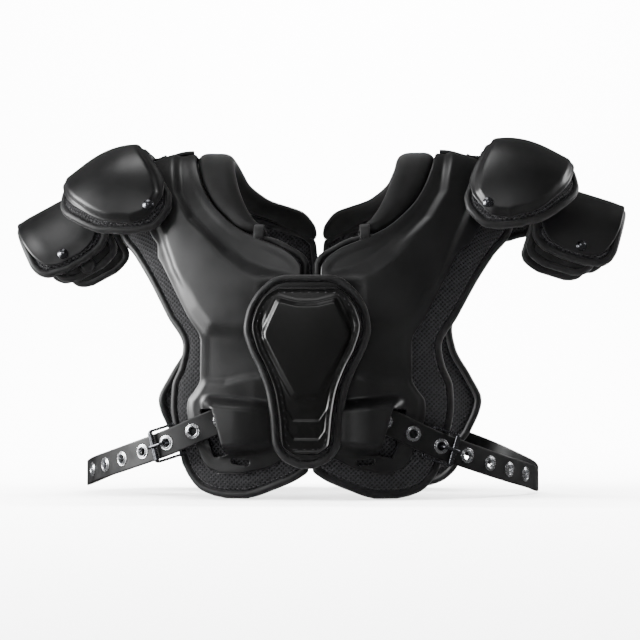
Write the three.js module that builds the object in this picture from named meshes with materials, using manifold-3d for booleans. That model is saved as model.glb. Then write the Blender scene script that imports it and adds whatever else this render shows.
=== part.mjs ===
// American football shoulder pad, in millimetres.
// The wearer faces -Y, +X is the wearer's left and +Z is up. The origin is on the ground that the four
// lower lobes stand on, under the middle of the whole.
// Each soft or moulded piece is a sheet on a saddle: an arch over the shoulder whose height and depth
// change with the distance from the middle.

import * as THREE from "three";
import { mergeVertices } from "three/addons/utils/BufferGeometryUtils.js";
import Module from "manifold-3d";

const wasm = await Module();
wasm.setup();

// Driving dimensions
const FIT_GAP = 0.3; // between pieces that touch
const LAYER_GAP = 0.8; // between curved layers that lie on each other
const ARCH_HEIGHT = 340; // lobes to the top of the shoulder arch
const ARCH_DROP = 44; // fall of the arch towards the arm
const ARCH_FLAT = 110; // half width of the level part of the arch
const ARCH_REACH = 95; // from there to the arm end of the arch
const ARM_END = 205; // middle to the arm end of the pad
const DROP_POWER = 2.3; // how late the fall begins
const ARCH_RISE = 2.6; // powers of the arch's side view: squarer as they grow
const ARCH_SPREAD = 2.4;
const CHEST_DEPTH = 135;
const BACK_DEPTH = 118;
const CHEST_WRAP = 25; // how far the chest curves back at WRAP_WIDTH
const BACK_WRAP = 22;
const WRAP_WIDTH = 130;
const PAD_THICK = 12;
const SHELL_THICK = 3;
const SHELL_LAYER_GAP = 1.3;
const COLLAR_RISE = 5; // collar above the pad's outer face
const LACE_THICK = 3;
const LACE_LOW = 70;
const LACE_HIGH = 185;
const LACE_LEVELS = [0, 1 / 3, 2 / 3, 1];

const CAP_PIVOT = { x: 160, z: ARCH_HEIGHT + 5 };
const CAP_CREST = ARCH_HEIGHT + 8.5;
const CAP_BASE = ARCH_HEIGHT - 100;
const CAP_CREST_X = 186;
const CAP_REACH = 70; // crest to the outer edge
const CAP_FALL = 28; // crest to the outer edge, downwards
const CAP_INNER_FALL = 7;
const CAP_DEPTH = 97;
const CAP_NARROWING = 14;
const CAP_PAD_THICK = 8;
const CAP_SHELL_THICK = 3;
const CAP_LAYER_GAP = 2.3;
const PAD_MARGIN = 10; // cap pad beyond the cap shell
const OUTER_MARGIN_SHARE = 0.4; // of the margin, at the arm end of caps and flaps
const DOME_POWER = 2.2; // of the side views of caps and flaps
const CAP_STUD = { x: 6, at: 0.4 };

const FLAP_PIVOT = { x: ARM_END + 17, z: ARCH_HEIGHT - 25 };
const FLAP_HEIGHT = 95;
const FLAP_DEPTH = 60;
const FLAP_LENGTH = 94;
const FLAP_SHELL_THICK = 3;
const FLAP_PAD_THICK = 9;
const UNDER_PAD_THICK = 8;
const FLAP_MARGIN = 8;
const FLAP_CROWN_INNER = 10;
const UNDER_PAD_END = 86;
const FLAP_STUD = { x: 61, at: 0.43 };

const STERNUM_HEIGHT = 182;
const STERNUM_LOW = 29;
const STERNUM_HALF = 59;
const STERNUM_THICK = 12;
const STERNUM_COVER_THICK = 6;
const STERNUM_OFFSET = -3; // to the wearer's right of the middle

const BELT_WIDTH = 25;
const BELT_THICK = 2.5;
const GROMMET_PITCH = 30;
const GROMMET_FLANGE = 15;
const GROMMET_HOLE = 8;
const GROMMET_WALL = 0.9;
const GROMMET_LIP = 0.8;
const GROMMETS = 7;
const GROMMET_SIDES = 8;
const BUCKLED = 2; // number of the grommet that the tongue is through, from 0 at the housing
const BUCKLE_LENGTH = 24; // heel bar to roller, between the bars' axes
const BUCKLE_BAR = 2.6;
const BAR_SIDES = 6;
const ROLLER = 4.2;
const ROUND_SIDES = 8;
const BUCKLE_CLEAR = 1.5; // belt edge to the buckle's side bars
const STRAP_THICK = 1.6;
const STRAP_INSET = 1.5; // strap's edge inside the belt's
const STRAP_START = 0.02; // shares of the belt's length
const STRAP_STEPS = 5;
const TONGUE = 3;
const TONGUE_THICK = 2;
const TONGUE_RING = 1.4; // wall of its ring round the heel bar

const HOUSING_RISE = 20; // roof above the shell
const HOUSING_WALL = 3;
const HOUSING_SINK = 0.4; // its foot into the shell's outer face
const HOUSING_INNER = 40;
const HOUSING_MOUTH = 80;
const HOUSING_LOW = 42;
const HOUSING_HIGH = 96;
const WINDOW_LENGTH = 16;
const WINDOW_PAST = 1; // from the housing's mouth
const WINDOW_LOW = 44;
const WINDOW_HIGH = 84;
const SLOT_LENGTH = 18;
const SLOT_WIDTH = 6;
const SLOT_INNER = 21; // from its middle to the housing's mouth
const SLOT_BELOW = 9; // from its middle to the window's lower edge
const SLOT_SLOPE = 0.12;
const CHEST_TURN = 40; // degrees of the arch that are chest, where the shells differ

const STUD = 10;
const STUD_RISE = 3;
const STUD_RIM = 0.35; // shares of its rise, and of its width for the crown
const STUD_SHOULDER = 0.85;
const STUD_CROWN = 0.3;
const STUD_SIDES = 8;
const WEB_THICK = 2; // webbing of the hidden straps
const WEB_WIDTH = 24;
const CAP_SAG = 4.4; // room under the crown of the cap pad for a flat strap
const FLAP_SAG = 3.3; // and under the crown of the under pad
const CAP_STRAP = { onShell: [150, 160], underCap: [22, 38] };
const FLAP_STRAP = { onShell: [ARM_END - 21, ARM_END - 13, ARM_END - 6], underFlap: [16, 40] };
const TAB_STATIONS = [125, 134, 143];
const LANYARD = 2.4;
const LANYARD_RISE = 1.5; // of its middle above its ends
const TAB_THICK = 1.5;
const TAB_WIDTH = 10;

// What differs from side to side as the pad lies in the picture
const SIDES = [
  {
    name: "left",
    mirror: 1,
    capRoll: -5,
    flapDroop: 17.6,
    shellShift: -5,
    housingShift: -7,
    beltDrop: -5,
    beltReach: 0,
  },
  {
    name: "right",
    mirror: -1,
    capRoll: 5,
    flapDroop: 28.2,
    shellShift: 5,
    housingShift: 7,
    beltDrop: 0,
    beltReach: 8,
  },
];

// Saddles

// An arch of height(x) on a base line, with front(x) and back(x) as its depths and its two powers.
// A place on it is x and an angle, from 0 at the front foot over 90 at the top to 180 at the back foot.
class Saddle {
  constructor({ height, front, back, base = 0, rise, spread }) {
    Object.assign(this, { height, front, back, base, rise, spread });
  }
  angle(share) {
    return THREE.MathUtils.radToDeg(Math.asin(Math.min(1, share ** (this.rise / 2))));
  }
  point(x, angle) {
    const turn = THREE.MathUtils.degToRad(angle);
    const across = Math.cos(turn);
    const depth = across >= 0 ? -this.front(x) : this.back(x);
    const z = this.height(x) * Math.max(0, Math.sin(turn)) ** (2 / this.rise);
    return new THREE.Vector3(x, depth * Math.abs(across) ** (2 / this.spread), this.base + z);
  }
  normal(x, angle) {
    const p = this.point(x, angle);
    const depthOf = angle <= 90 ? this.front : this.back;
    const depth = depthOf(x);
    const step = 0.5;
    const depthSlope = (depthOf(x + step) - depthOf(x - step)) / (2 * step);
    const heightSlope = (this.height(x + step) - this.height(x - step)) / (2 * step);
    const y = Math.abs(p.y) / depth;
    const z = Math.max(0, p.z - this.base) / this.height(x);
    return new THREE.Vector3(
      (-this.spread * y ** this.spread * depthSlope) / depth -
        (this.rise * z ** this.rise * heightSlope) / this.height(x),
      (Math.sign(p.y) * this.spread * y ** (this.spread - 1)) / depth,
      (this.rise * z ** (this.rise - 1)) / this.height(x),
    ).normalize();
  }
  lifted(x, angle, offset) {
    return this.point(x, angle).addScaledVector(this.normal(x, angle), offset);
  }
  // The place at a given height on the front or the back.
  angleAt(x, z, back = false) {
    const angle = this.angle(Math.min(1, (z - this.base) / this.height(x)));
    return back ? 180 - angle : angle;
  }
}

const wrap = (depth, curve) => (x) => depth - curve * (x / WRAP_WIDTH) ** 2;
const torso = new Saddle({
  height: (x) =>
    ARCH_HEIGHT - ARCH_DROP * (Math.max(0, Math.abs(x) - ARCH_FLAT) / ARCH_REACH) ** DROP_POWER,
  front: wrap(CHEST_DEPTH, CHEST_WRAP),
  back: wrap(BACK_DEPTH, BACK_WRAP),
  rise: ARCH_RISE,
  spread: ARCH_SPREAD,
});

function capHeight(x) {
  const out = x + CAP_PIVOT.x - CAP_CREST_X;
  const fall =
    out > 0
      ? CAP_FALL * (out / CAP_REACH) ** DROP_POWER
      : CAP_INNER_FALL * (out / (CAP_CREST_X - CAP_PIVOT.x)) ** 2;
  return CAP_CREST - CAP_BASE - fall;
}
function capDepth(x) {
  const out = Math.max(0, x + CAP_PIVOT.x - CAP_CREST_X);
  return CAP_DEPTH - CAP_NARROWING * (out / CAP_REACH) ** 2;
}
const cap = new Saddle({
  height: capHeight,
  front: capDepth,
  back: capDepth,
  base: CAP_BASE - CAP_PIVOT.z,
  rise: DOME_POWER,
  spread: DOME_POWER,
});
const flap = new Saddle({
  height: () => FLAP_HEIGHT,
  front: () => FLAP_DEPTH,
  back: () => FLAP_DEPTH,
  base: -FLAP_HEIGHT,
  rise: DOME_POWER,
  spread: DOME_POWER,
});

// Outlines, one row per height from a lobe up to the top of the arch.
// at is the height as a share of the arch, inner and outer are the edges in millimetres from the middle
// (for cap and flap, from their pivots).

const PAD_FRONT = [
  { at: 0.0, inner: 61, outer: 84 },
  { at: 0.006, inner: 53, outer: 94 },
  { at: 0.022, inner: 38, outer: 108 },
  { at: 0.055, inner: 12, outer: 119 },
  { at: 0.08, inner: 2, outer: 124 },
  { at: 0.2, inner: 2, outer: 136 },
  { at: 0.26, inner: 2, outer: 139 },
  { at: 0.32, inner: 2, outer: 138 },
  { at: 0.38, inner: 2, outer: 130 },
  { at: 0.43, inner: 2, outer: 127 },
  { at: 0.52, inner: 2, outer: 143 },
  { at: 0.66, inner: 2, outer: 166 },
  { at: 0.69, inner: 6, outer: 171 },
  { at: 0.72, inner: 21, outer: 176 },
  { at: 0.745, inner: 38, outer: 180 },
  { at: 0.762, inner: 70, outer: 183 },
  { at: 0.8, inner: 86, outer: 190 },
  { at: 0.85, inner: 101, outer: ARM_END - 8 },
  { at: 0.91, inner: 111.5, outer: ARM_END - 3 },
  { at: 0.97, inner: 118, outer: ARM_END - 1 },
];
const PAD_BACK = [
  { at: 0.0, inner: 82, outer: 106 },
  { at: 0.008, inner: 68, outer: 120 },
  { at: 0.03, inner: 42, outer: 136 },
  { at: 0.08, inner: 2, outer: 149 },
  { at: 0.13, inner: 2, outer: 151 },
  { at: 0.18, inner: 2, outer: 161 },
  { at: 0.29, inner: 2, outer: 173 },
  { at: 0.36, inner: 2, outer: 162 },
  { at: 0.44, inner: 2, outer: 146 },
  { at: 0.5, inner: 2, outer: 142 },
  { at: 0.56, inner: 2, outer: 149 },
  { at: 0.68, inner: 2, outer: 168 },
  { at: 0.77, inner: 4, outer: 181 },
  { at: 0.8, inner: 14, outer: 186 },
  { at: 0.83, inner: 44, outer: 190 },
  { at: 0.86, inner: 74, outer: 194 },
  { at: 0.9, inner: 99, outer: ARM_END - 7 },
  { at: 0.95, inner: 114, outer: ARM_END - 3 },
];
const PAD_TOP = { inner: 122, outer: ARM_END };

const SHELL_INNER = 9; // edge of each shell beside the laces
const SHELL_FRONT = [
  { at: 0.077, inner: 56, outer: 85 },
  { at: 0.085, inner: 42, outer: 92 },
  { at: 0.105, inner: 28, outer: 98 },
  { at: 0.13, inner: 12, outer: 102 },
  { at: 0.15, inner: SHELL_INNER, outer: 105 },
  { at: 0.205, inner: SHELL_INNER, outer: 111 },
  { at: 0.25, inner: SHELL_INNER, outer: 114 },
  { at: 0.275, inner: SHELL_INNER, outer: 113 },
  { at: 0.305, inner: SHELL_INNER, outer: 106 },
  { at: 0.335, inner: SHELL_INNER, outer: 101 },
  { at: 0.44, inner: SHELL_INNER, outer: 101 },
  { at: 0.51, inner: SHELL_INNER, outer: 114 },
  { at: 0.645, inner: SHELL_INNER, outer: 137 },
  { at: 0.67, inner: 13, outer: 141 },
  { at: 0.7, inner: 25, outer: 146 },
  { at: 0.735, inner: 52, outer: 152 },
  { at: 0.762, inner: 70, outer: 157 },
  { at: 0.8, inner: 86, outer: 163 },
  { at: 0.85, inner: 101, outer: 173 },
  { at: 0.91, inner: 111.5, outer: ARM_END - 21 },
  { at: 0.97, inner: 118, outer: ARM_END - 9 },
];
const SHELL_BACK = [
  { at: 0.09, inner: 60, outer: 96 },
  { at: 0.1, inner: 40, outer: 110 },
  { at: 0.12, inner: 18, outer: 120 },
  { at: 0.14, inner: SHELL_INNER, outer: 125 },
  { at: 0.2, inner: SHELL_INNER, outer: 134 },
  { at: 0.28, inner: SHELL_INNER, outer: 140 },
  { at: 0.36, inner: SHELL_INNER, outer: 134 },
  { at: 0.44, inner: SHELL_INNER, outer: 122 },
  { at: 0.5, inner: SHELL_INNER, outer: 120 },
  { at: 0.56, inner: SHELL_INNER, outer: 126 },
  { at: 0.68, inner: SHELL_INNER, outer: 146 },
  { at: 0.765, inner: 10, outer: 160 },
  { at: 0.8, inner: 22, outer: 166 },
  { at: 0.83, inner: 45, outer: 170 },
  { at: 0.86, inner: 75, outer: 175 },
  { at: 0.9, inner: 99, outer: ARM_END - 23 },
  { at: 0.95, inner: 114, outer: ARM_END - 14 },
];
const SHELL_TOP = { inner: 122, outer: ARM_END - 5 };

const COLLAR_FRONT = [
  { at: 0.757, inner: 45, outer: 58 },
  { at: 0.762, inner: 45.5, outer: 69 },
  { at: 0.8, inner: 58, outer: 85 },
  { at: 0.85, inner: 68, outer: 100 },
  { at: 0.91, inner: 75.5, outer: 110.5 },
  { at: 0.97, inner: 80.5, outer: 117 },
];
const COLLAR_BACK = [
  { at: 0.815, inner: 14, outer: 26 },
  { at: 0.83, inner: 9, outer: 43 },
  { at: 0.86, inner: 16, outer: 73 },
  { at: 0.9, inner: 54, outer: 98 },
  { at: 0.95, inner: 74, outer: 113 },
];
const COLLAR_TOP = { inner: 83, outer: 121 };

const CAP_ROWS = [
  { at: 0.255, inner: 18, outer: 32 },
  { at: 0.29, inner: 10, outer: 46 },
  { at: 0.345, inner: 4, outer: 58 },
  { at: 0.45, inner: -3, outer: 71 },
  { at: 0.56, inner: -8, outer: 81 },
  { at: 0.68, inner: -9, outer: 88 },
  { at: 0.8, inner: -3, outer: 92 },
  { at: 0.92, inner: 8, outer: 95 },
];
const CAP_TOP = { inner: 14, outer: 96 };

const FLAP_ROWS = [
  { at: 0.35, inner: 46, outer: 66 },
  { at: 0.375, inner: 36, outer: 75 },
  { at: 0.42, inner: 27, outer: 82 },
  { at: 0.5, inner: 20, outer: 87 },
  { at: 0.62, inner: 14, outer: 91 },
  { at: 0.8, inner: 11, outer: 93.5 },
];
const UNDER_ROWS = [
  { at: 0.13, inner: 34, outer: 60 },
  { at: 0.16, inner: 24, outer: 69 },
  { at: 0.22, inner: 14, outer: 76 },
  { at: 0.32, inner: 10, outer: 80 },
  { at: 0.5, inner: 10, outer: 84 },
  { at: 0.75, inner: 10, outer: 86 },
];

// half is the half width and at the height, both as shares of the sternum pad's
const STERNUM_ROWS = [
  { at: 0.0, half: 0.1 },
  { at: 0.012, half: 0.2 },
  { at: 0.05, half: 0.39 },
  { at: 0.13, half: 0.53 },
  { at: 0.27, half: 0.57 },
  { at: 0.39, half: 0.63 },
  { at: 0.51, half: 0.76 },
  { at: 0.62, half: 0.92 },
  { at: 0.72, half: 1.0 },
  { at: 0.8, half: 0.965 },
  { at: 0.895, half: 0.83 },
  { at: 0.97, half: 0.61 },
  { at: 1.0, half: 0.42 },
];
const COVER_ROWS = [
  { at: 0.075, half: 0.2 },
  { at: 0.12, half: 0.36 },
  { at: 0.27, half: 0.41 },
  { at: 0.39, half: 0.47 },
  { at: 0.51, half: 0.6 },
  { at: 0.62, half: 0.76 },
  { at: 0.73, half: 0.84 },
  { at: 0.8, half: 0.79 },
  { at: 0.88, half: 0.65 },
  { at: 0.925, half: 0.45 },
];

// Sheets

const mix = THREE.MathUtils.lerp;
const ARCH_STEP = 22; // most degrees between two rows
const DOME_STEP = 16;
const WELD = 1e-3; // points nearer than this are one

// Rows of a front table, the top and a back table as one list with angles.
function around(surface, frontRows, top, backRows) {
  const placed = (row, back) => {
    const angle = surface.angle(row.at);
    return { ...row, angle: back ? 180 - angle : angle };
  };
  return [
    ...frontRows.map((row) => placed(row, false)),
    { ...top, angle: 90 },
    ...[...backRows].reverse().map((row) => placed(row, true)),
  ];
}

// The same list with extra rows where two lie more than step degrees apart.
function refined(rows, step) {
  return rows.flatMap((row, i) => {
    const next = rows[i + 1];
    if (!next) return [row];
    const count = Math.ceil((next.angle - row.angle) / step);
    return Array.from({ length: count }, (_, k) => ({
      angle: mix(row.angle, next.angle, k / count),
      inner: mix(row.inner, next.inner, k / count),
      outer: mix(row.outer, next.outer, k / count),
    }));
  });
}

// A closed solid between two grids of points of the same size.
function solidBetween(near, far) {
  const rows = near.length;
  const columns = near[0].length;
  const positions = [...near.flat(), ...far.flat()].flatMap((p) => [p.x, p.y, p.z]);
  const index = [];
  const id = (layer, i, j) => (layer * rows + i) * columns + j;
  const quad = (a, b, c, d) => index.push(a, b, c, a, c, d);
  for (let i = 0; i < rows - 1; i++) {
    for (let j = 0; j < columns - 1; j++) {
      quad(id(0, i, j), id(0, i + 1, j), id(0, i + 1, j + 1), id(0, i, j + 1));
      quad(id(1, i, j), id(1, i, j + 1), id(1, i + 1, j + 1), id(1, i + 1, j));
    }
    const last = columns - 1;
    quad(id(0, i, 0), id(1, i, 0), id(1, i + 1, 0), id(0, i + 1, 0));
    quad(id(0, i, last), id(0, i + 1, last), id(1, i + 1, last), id(1, i, last));
  }
  for (let j = 0; j < columns - 1; j++) {
    const end = rows - 1;
    quad(id(0, 0, j), id(0, 0, j + 1), id(1, 0, j + 1), id(1, 0, j));
    quad(id(0, end, j), id(1, end, j), id(1, end, j + 1), id(0, end, j + 1));
  }
  const geometry = new THREE.BufferGeometry();
  geometry.setAttribute("position", new THREE.Float32BufferAttribute(positions, 3));
  geometry.setIndex(index);
  return facingOut(geometry);
}

// Turns every face round where the geometry is inside out.
function facingOut(geometry) {
  const position = geometry.getAttribute("position");
  const index = geometry.index.array;
  const corner = (n) => new THREE.Vector3().fromBufferAttribute(position, index[n]);
  let volume = 0;
  for (let i = 0; i < index.length; i += 3) {
    volume += corner(i).dot(corner(i + 1).cross(corner(i + 2)));
  }
  if (volume < 0) geometry.setIndex([...index].reverse());
  return geometry;
}

// A sheet on a saddle between two offsets, with its edges thinned by round over the width rim.
function sheet(surface, rows, { near, far, columns = 5, rim = 0, round = 0 }) {
  const grid = (offset, inward) =>
    rows.map((row, i) => {
      const width = row.outer - row.inner;
      const edge = Math.min(rim, width / 4);
      const inside = Array.from({ length: columns }, (_, j) =>
        mix(row.inner + edge, row.outer - edge, j / (columns - 1)),
      );
      const places = rim > 0 ? [row.inner, ...inside, row.outer] : inside;
      return places.map((x, j) => {
        const border = i === 0 || i === rows.length - 1 || j === 0 || j === places.length - 1;
        return surface.lifted(x, row.angle, offset + (border ? inward * round : 0));
      });
    });
  return solidBetween(grid(near, 1), grid(far, -1));
}

// Joins and cuts

function toSolid(geometry) {
  const bare = geometry.index ? geometry.clone() : mergeVertices(stripped(geometry), WELD);
  return new wasm.Manifold(
    new wasm.Mesh({
      numProp: 3,
      vertProperties: new Float32Array(bare.getAttribute("position").array),
      triVerts: new Uint32Array(bare.index.array),
    }),
  );
}
function stripped(geometry) {
  const bare = geometry.index ? geometry.toNonIndexed() : geometry.clone();
  bare.deleteAttribute("normal");
  bare.deleteAttribute("uv");
  return bare;
}
function merged(geometry) {
  return mergeVertices(stripped(geometry), WELD);
}
function toGeometry(solid) {
  const mesh = solid.getMesh();
  const geometry = new THREE.BufferGeometry();
  geometry.setAttribute("position", new THREE.BufferAttribute(mesh.vertProperties, 3));
  geometry.setIndex(new THREE.BufferAttribute(mesh.triVerts, 1));
  return geometry;
}

// Materials

function material(colour, roughness, metalness = 0) {
  return new THREE.MeshStandardMaterial({ color: colour, roughness, metalness });
}
const moulded = material(0x1a1a1c, 0.42);
const meshCloth = material(0x111112, 0.9);
const neoprene = material(0x151516, 0.75);
const webbing = material(0x101011, 0.85);
const beltHide = material(0x121213, 0.5);
const nickel = material(0xb9bbbf, 0.25, 1);
const gunmetal = material(0x4a4a4e, 0.35, 1);

const root = new THREE.Group();
function add(parent, name, geometry, finish) {
  const mesh = new THREE.Mesh(geometry, finish);
  mesh.name = name;
  parent.add(mesh);
  return mesh;
}

// Body pads and arch shells

const SHELL_NEAR = SHELL_LAYER_GAP;
const SHELL_FAR = SHELL_NEAR + SHELL_THICK;

function bodyPad() {
  const rows = refined(around(torso, PAD_FRONT, PAD_TOP, PAD_BACK), ARCH_STEP);
  return sheet(torso, rows, { near: -PAD_THICK, far: 0, columns: 3, rim: 4, round: 3 });
}

// The moulded bump that the buckle strap comes out of: a roof that stands on the shell on three sides
// and is open towards the arm.
function housingRoof(side) {
  const shift = side.housingShift;
  const levels = [0, 0.14, 0.5, 0.86, 1];
  const widths = [0, 0.16, 0.6, 1];
  const rise = (v, u) => {
    const wall = v === 0 || v === 1 || u === 0;
    return wall ? 0 : HOUSING_RISE - HOUSING_WALL * (1 - u);
  };
  const grid = (low) =>
    levels.map((v) =>
      widths.map((u) => {
        const x = mix(HOUSING_INNER, HOUSING_MOUTH, u) + shift;
        const z = mix(HOUSING_LOW, HOUSING_HIGH, v);
        const foot = rise(v, u) === 0;
        const inset = low && !foot ? -HOUSING_WALL : 0;
        const footAt = low ? SHELL_NEAR + 1.5 * HOUSING_SINK : SHELL_FAR - HOUSING_SINK;
        const base = foot ? footAt : SHELL_NEAR;
        return torso.lifted(x, torso.angleAt(x, z), base + rise(v, u) + inset);
      }),
    );
  return solidBetween(grid(true), grid(false));
}

// A straight-sided cutter through the front of the shell, given by x and z ranges and a slope.
function frontCutter(x, z, length, height, slope) {
  const place = torso.point(x, torso.angleAt(x, z));
  const box = new THREE.BoxGeometry(length, 10 * SHELL_THICK, height);
  const wrapSlope = Math.atan((2 * CHEST_WRAP * x) / WRAP_WIDTH ** 2);
  const turned = new THREE.Matrix4()
    .makeRotationFromEuler(new THREE.Euler(0, slope, wrapSlope))
    .setPosition(place);
  return toSolid(merged(box.applyMatrix4(turned)));
}

function archShell(side) {
  const rows = refined(around(torso, SHELL_FRONT, SHELL_TOP, SHELL_BACK), ARCH_STEP).map((row) => ({
    ...row,
    outer: row.outer + (row.angle < CHEST_TURN ? side.shellShift : 0),
  }));
  const plain = toSolid(sheet(torso, rows, { near: SHELL_NEAR, far: SHELL_FAR, columns: 4 }));
  const windowX = HOUSING_MOUTH + WINDOW_PAST + WINDOW_LENGTH / 2 + side.housingShift;
  const windowZ = (WINDOW_LOW + WINDOW_HIGH) / 2;
  const slotX = HOUSING_MOUTH - SLOT_INNER + side.housingShift;
  const windowCut = frontCutter(windowX, windowZ, WINDOW_LENGTH, WINDOW_HIGH - WINDOW_LOW, 0);
  const slotCut = frontCutter(slotX, WINDOW_LOW - SLOT_BELOW, SLOT_LENGTH, SLOT_WIDTH, SLOT_SLOPE);
  return toGeometry(
    plain.subtract(windowCut).subtract(slotCut).add(toSolid(housingRoof(side))),
  );
}

function collar() {
  const rows = refined(around(torso, COLLAR_FRONT, COLLAR_TOP, COLLAR_BACK), ARCH_STEP);
  return sheet(torso, rows, { near: -PAD_THICK, far: COLLAR_RISE, columns: 2, rim: 5, round: 4 });
}

// Caps and flaps

const grown = (rows, margin, down) =>
  rows.map((row) => ({
    at: Math.max(0.02, row.at - down),
    inner: row.inner - margin,
    outer: row.outer + margin,
  }));
function overTop(surface, rows, top) {
  return refined(around(surface, rows, top, rows), DOME_STEP);
}

function capShell() {
  const rows = overTop(cap, CAP_ROWS, CAP_TOP);
  const near = CAP_LAYER_GAP;
  return sheet(cap, rows, { near, far: near + CAP_SHELL_THICK, columns: 4 });
}
function capPad() {
  const margin = PAD_MARGIN;
  const armEnd = CAP_TOP.outer + margin * OUTER_MARGIN_SHARE;
  const rows = overTop(
    cap,
    grown(CAP_ROWS, margin, margin / (CAP_CREST - CAP_BASE)),
    { inner: CAP_TOP.inner - margin, outer: armEnd },
  ).map((row) => ({ ...row, outer: Math.min(row.outer, armEnd) }));
  return sheet(cap, rows, { near: -CAP_PAD_THICK, far: 0, columns: 3, rim: 4, round: 3 });
}
function flapShell() {
  const rows = overTop(flap, FLAP_ROWS, { inner: FLAP_CROWN_INNER, outer: FLAP_LENGTH });
  const near = LAYER_GAP;
  return sheet(flap, rows, { near, far: near + FLAP_SHELL_THICK, columns: 4 });
}
function flapPad() {
  const armEnd = FLAP_LENGTH + FLAP_MARGIN * OUTER_MARGIN_SHARE;
  const rows = overTop(
    flap,
    grown(FLAP_ROWS, FLAP_MARGIN, FLAP_MARGIN / FLAP_HEIGHT),
    { inner: FLAP_CROWN_INNER, outer: armEnd },
  ).map((row) => ({
    ...row,
    inner: Math.max(row.inner, FLAP_CROWN_INNER),
    outer: Math.min(row.outer, armEnd),
  }));
  return sheet(flap, rows, { near: -FLAP_PAD_THICK, far: 0, columns: 2, rim: 5, round: 3 });
}
function underPad() {
  const far = -FLAP_PAD_THICK - LAYER_GAP;
  const rows = overTop(flap, UNDER_ROWS, { inner: FLAP_CROWN_INNER, outer: UNDER_PAD_END });
  return sheet(flap, rows, { near: far - UNDER_PAD_THICK, far, columns: 2, rim: 5, round: 2.5 });
}

// A dome-headed stud standing on a saddle at x and a share of its height.
function stud(surface, { x, at }, back, above) {
  const angle = back ? 180 - surface.angle(at) : surface.angle(at);
  const profile = [
    new THREE.Vector2(0, 0),
    new THREE.Vector2(STUD / 2, 0),
    new THREE.Vector2(STUD / 2, STUD_RISE * STUD_RIM),
    new THREE.Vector2(STUD * STUD_CROWN, STUD_RISE * STUD_SHOULDER),
    new THREE.Vector2(0, STUD_RISE),
  ];
  const up = surface.normal(x, angle);
  const turn = new THREE.Quaternion().setFromUnitVectors(new THREE.Vector3(0, 1, 0), up);
  const matrix = new THREE.Matrix4().compose(
    surface.lifted(x, angle, above),
    turn,
    new THREE.Vector3(1, 1, 1),
  );
  return facingOut(merged(new THREE.LatheGeometry(profile, STUD_SIDES).applyMatrix4(matrix)));
}

// Straps, drawn as a side view and given a width along y

function ribbon(points, thick, width) {
  const normalAt = (i) => {
    const before = points[Math.max(0, i - 1)];
    const after = points[Math.min(points.length - 1, i + 1)];
    return new THREE.Vector2(before.y - after.y, after.x - before.x).normalize();
  };
  const upper = points.map((p, i) => p.clone().addScaledVector(normalAt(i), thick));
  const shape = new THREE.Shape([...points, ...upper.reverse()]);
  const geometry = new THREE.ExtrudeGeometry(shape, { depth: width, bevelEnabled: false });
  geometry.translate(0, 0, -width / 2).rotateX(Math.PI / 2);
  return facingOut(merged(geometry));
}
const onArch = (x, above) => {
  const p = torso.lifted(x, 90, above);
  return new THREE.Vector2(p.x, p.z);
};
// A point under a cap or flap, from its pivot's frame to the body's.
function fromPivot(pivot, droop, x, z) {
  const turn = THREE.MathUtils.degToRad(droop);
  return new THREE.Vector2(
    pivot.x + x * Math.cos(turn) + z * Math.sin(turn),
    pivot.z - x * Math.sin(turn) + z * Math.cos(turn),
  );
}

function capStrap(side) {
  const under = (x) =>
    fromPivot(CAP_PIVOT, side.capRoll, x, cap.point(x, 90).z - CAP_PAD_THICK - WEB_THICK - CAP_SAG);
  const onShell = SHELL_FAR + FIT_GAP;
  const points = [
    ...CAP_STRAP.onShell.map((x) => onArch(x, onShell)),
    ...CAP_STRAP.underCap.map(under),
  ];
  return ribbon(points, WEB_THICK, WEB_WIDTH);
}
function flapStrap(side) {
  const depth = FLAP_PAD_THICK + UNDER_PAD_THICK + LAYER_GAP + FLAP_SAG + WEB_THICK;
  const under = (x) => fromPivot(FLAP_PIVOT, side.flapDroop, x, -depth);
  const onShell = SHELL_FAR + FIT_GAP;
  const points = [
    ...FLAP_STRAP.onShell.map((x) => onArch(x, onShell)),
    ...FLAP_STRAP.underFlap.map(under),
  ];
  return ribbon(points, WEB_THICK, WEB_WIDTH);
}
function lanyardTab() {
  const above = SHELL_FAR + FIT_GAP;
  return ribbon(TAB_STATIONS.map((x) => onArch(x, above)), TAB_THICK, TAB_WIDTH);
}

const CORD_STEPS = 4;
const CORD_SIDES = 6;

// A round cord along chosen points.
function tube(points, diameter, steps, sides) {
  const section = new THREE.Shape();
  for (let i = 0; i < sides; i++) {
    const turn = (2 * Math.PI * i) / sides;
    const corner = [(diameter / 2) * Math.cos(turn), (diameter / 2) * Math.sin(turn)];
    if (i === 0) section.moveTo(...corner);
    else section.lineTo(...corner);
  }
  const path = new THREE.CatmullRomCurve3(points);
  const geometry = new THREE.ExtrudeGeometry(section, { steps, extrudePath: path });
  return facingOut(merged(geometry));
}
function lanyardCord(side) {
  const hold = CAP_TOP.inner - PAD_MARGIN;
  const crest = cap.point(hold, 90).z - CAP_PAD_THICK / 2;
  const anchor = fromPivot(CAP_PIVOT, side.capRoll, hold, crest);
  const tab = onArch(TAB_STATIONS.at(-1), SHELL_FAR + FIT_GAP + TAB_THICK / 2);
  const clear = 2 * FIT_GAP;
  const start = new THREE.Vector3(tab.x + LANYARD / 2 + clear, 0, tab.y + LANYARD / 2);
  const finish = new THREE.Vector3(anchor.x + FIT_GAP, 0, anchor.y);
  const level = (start.z + CAP_PIVOT.z) / 2 + LANYARD_RISE;
  const middle = new THREE.Vector3((start.x + finish.x) / 2, 0, level);
  return tube([start, middle, finish], LANYARD, CORD_STEPS, CORD_SIDES);
}

// Sternum pad and the laces under it

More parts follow.
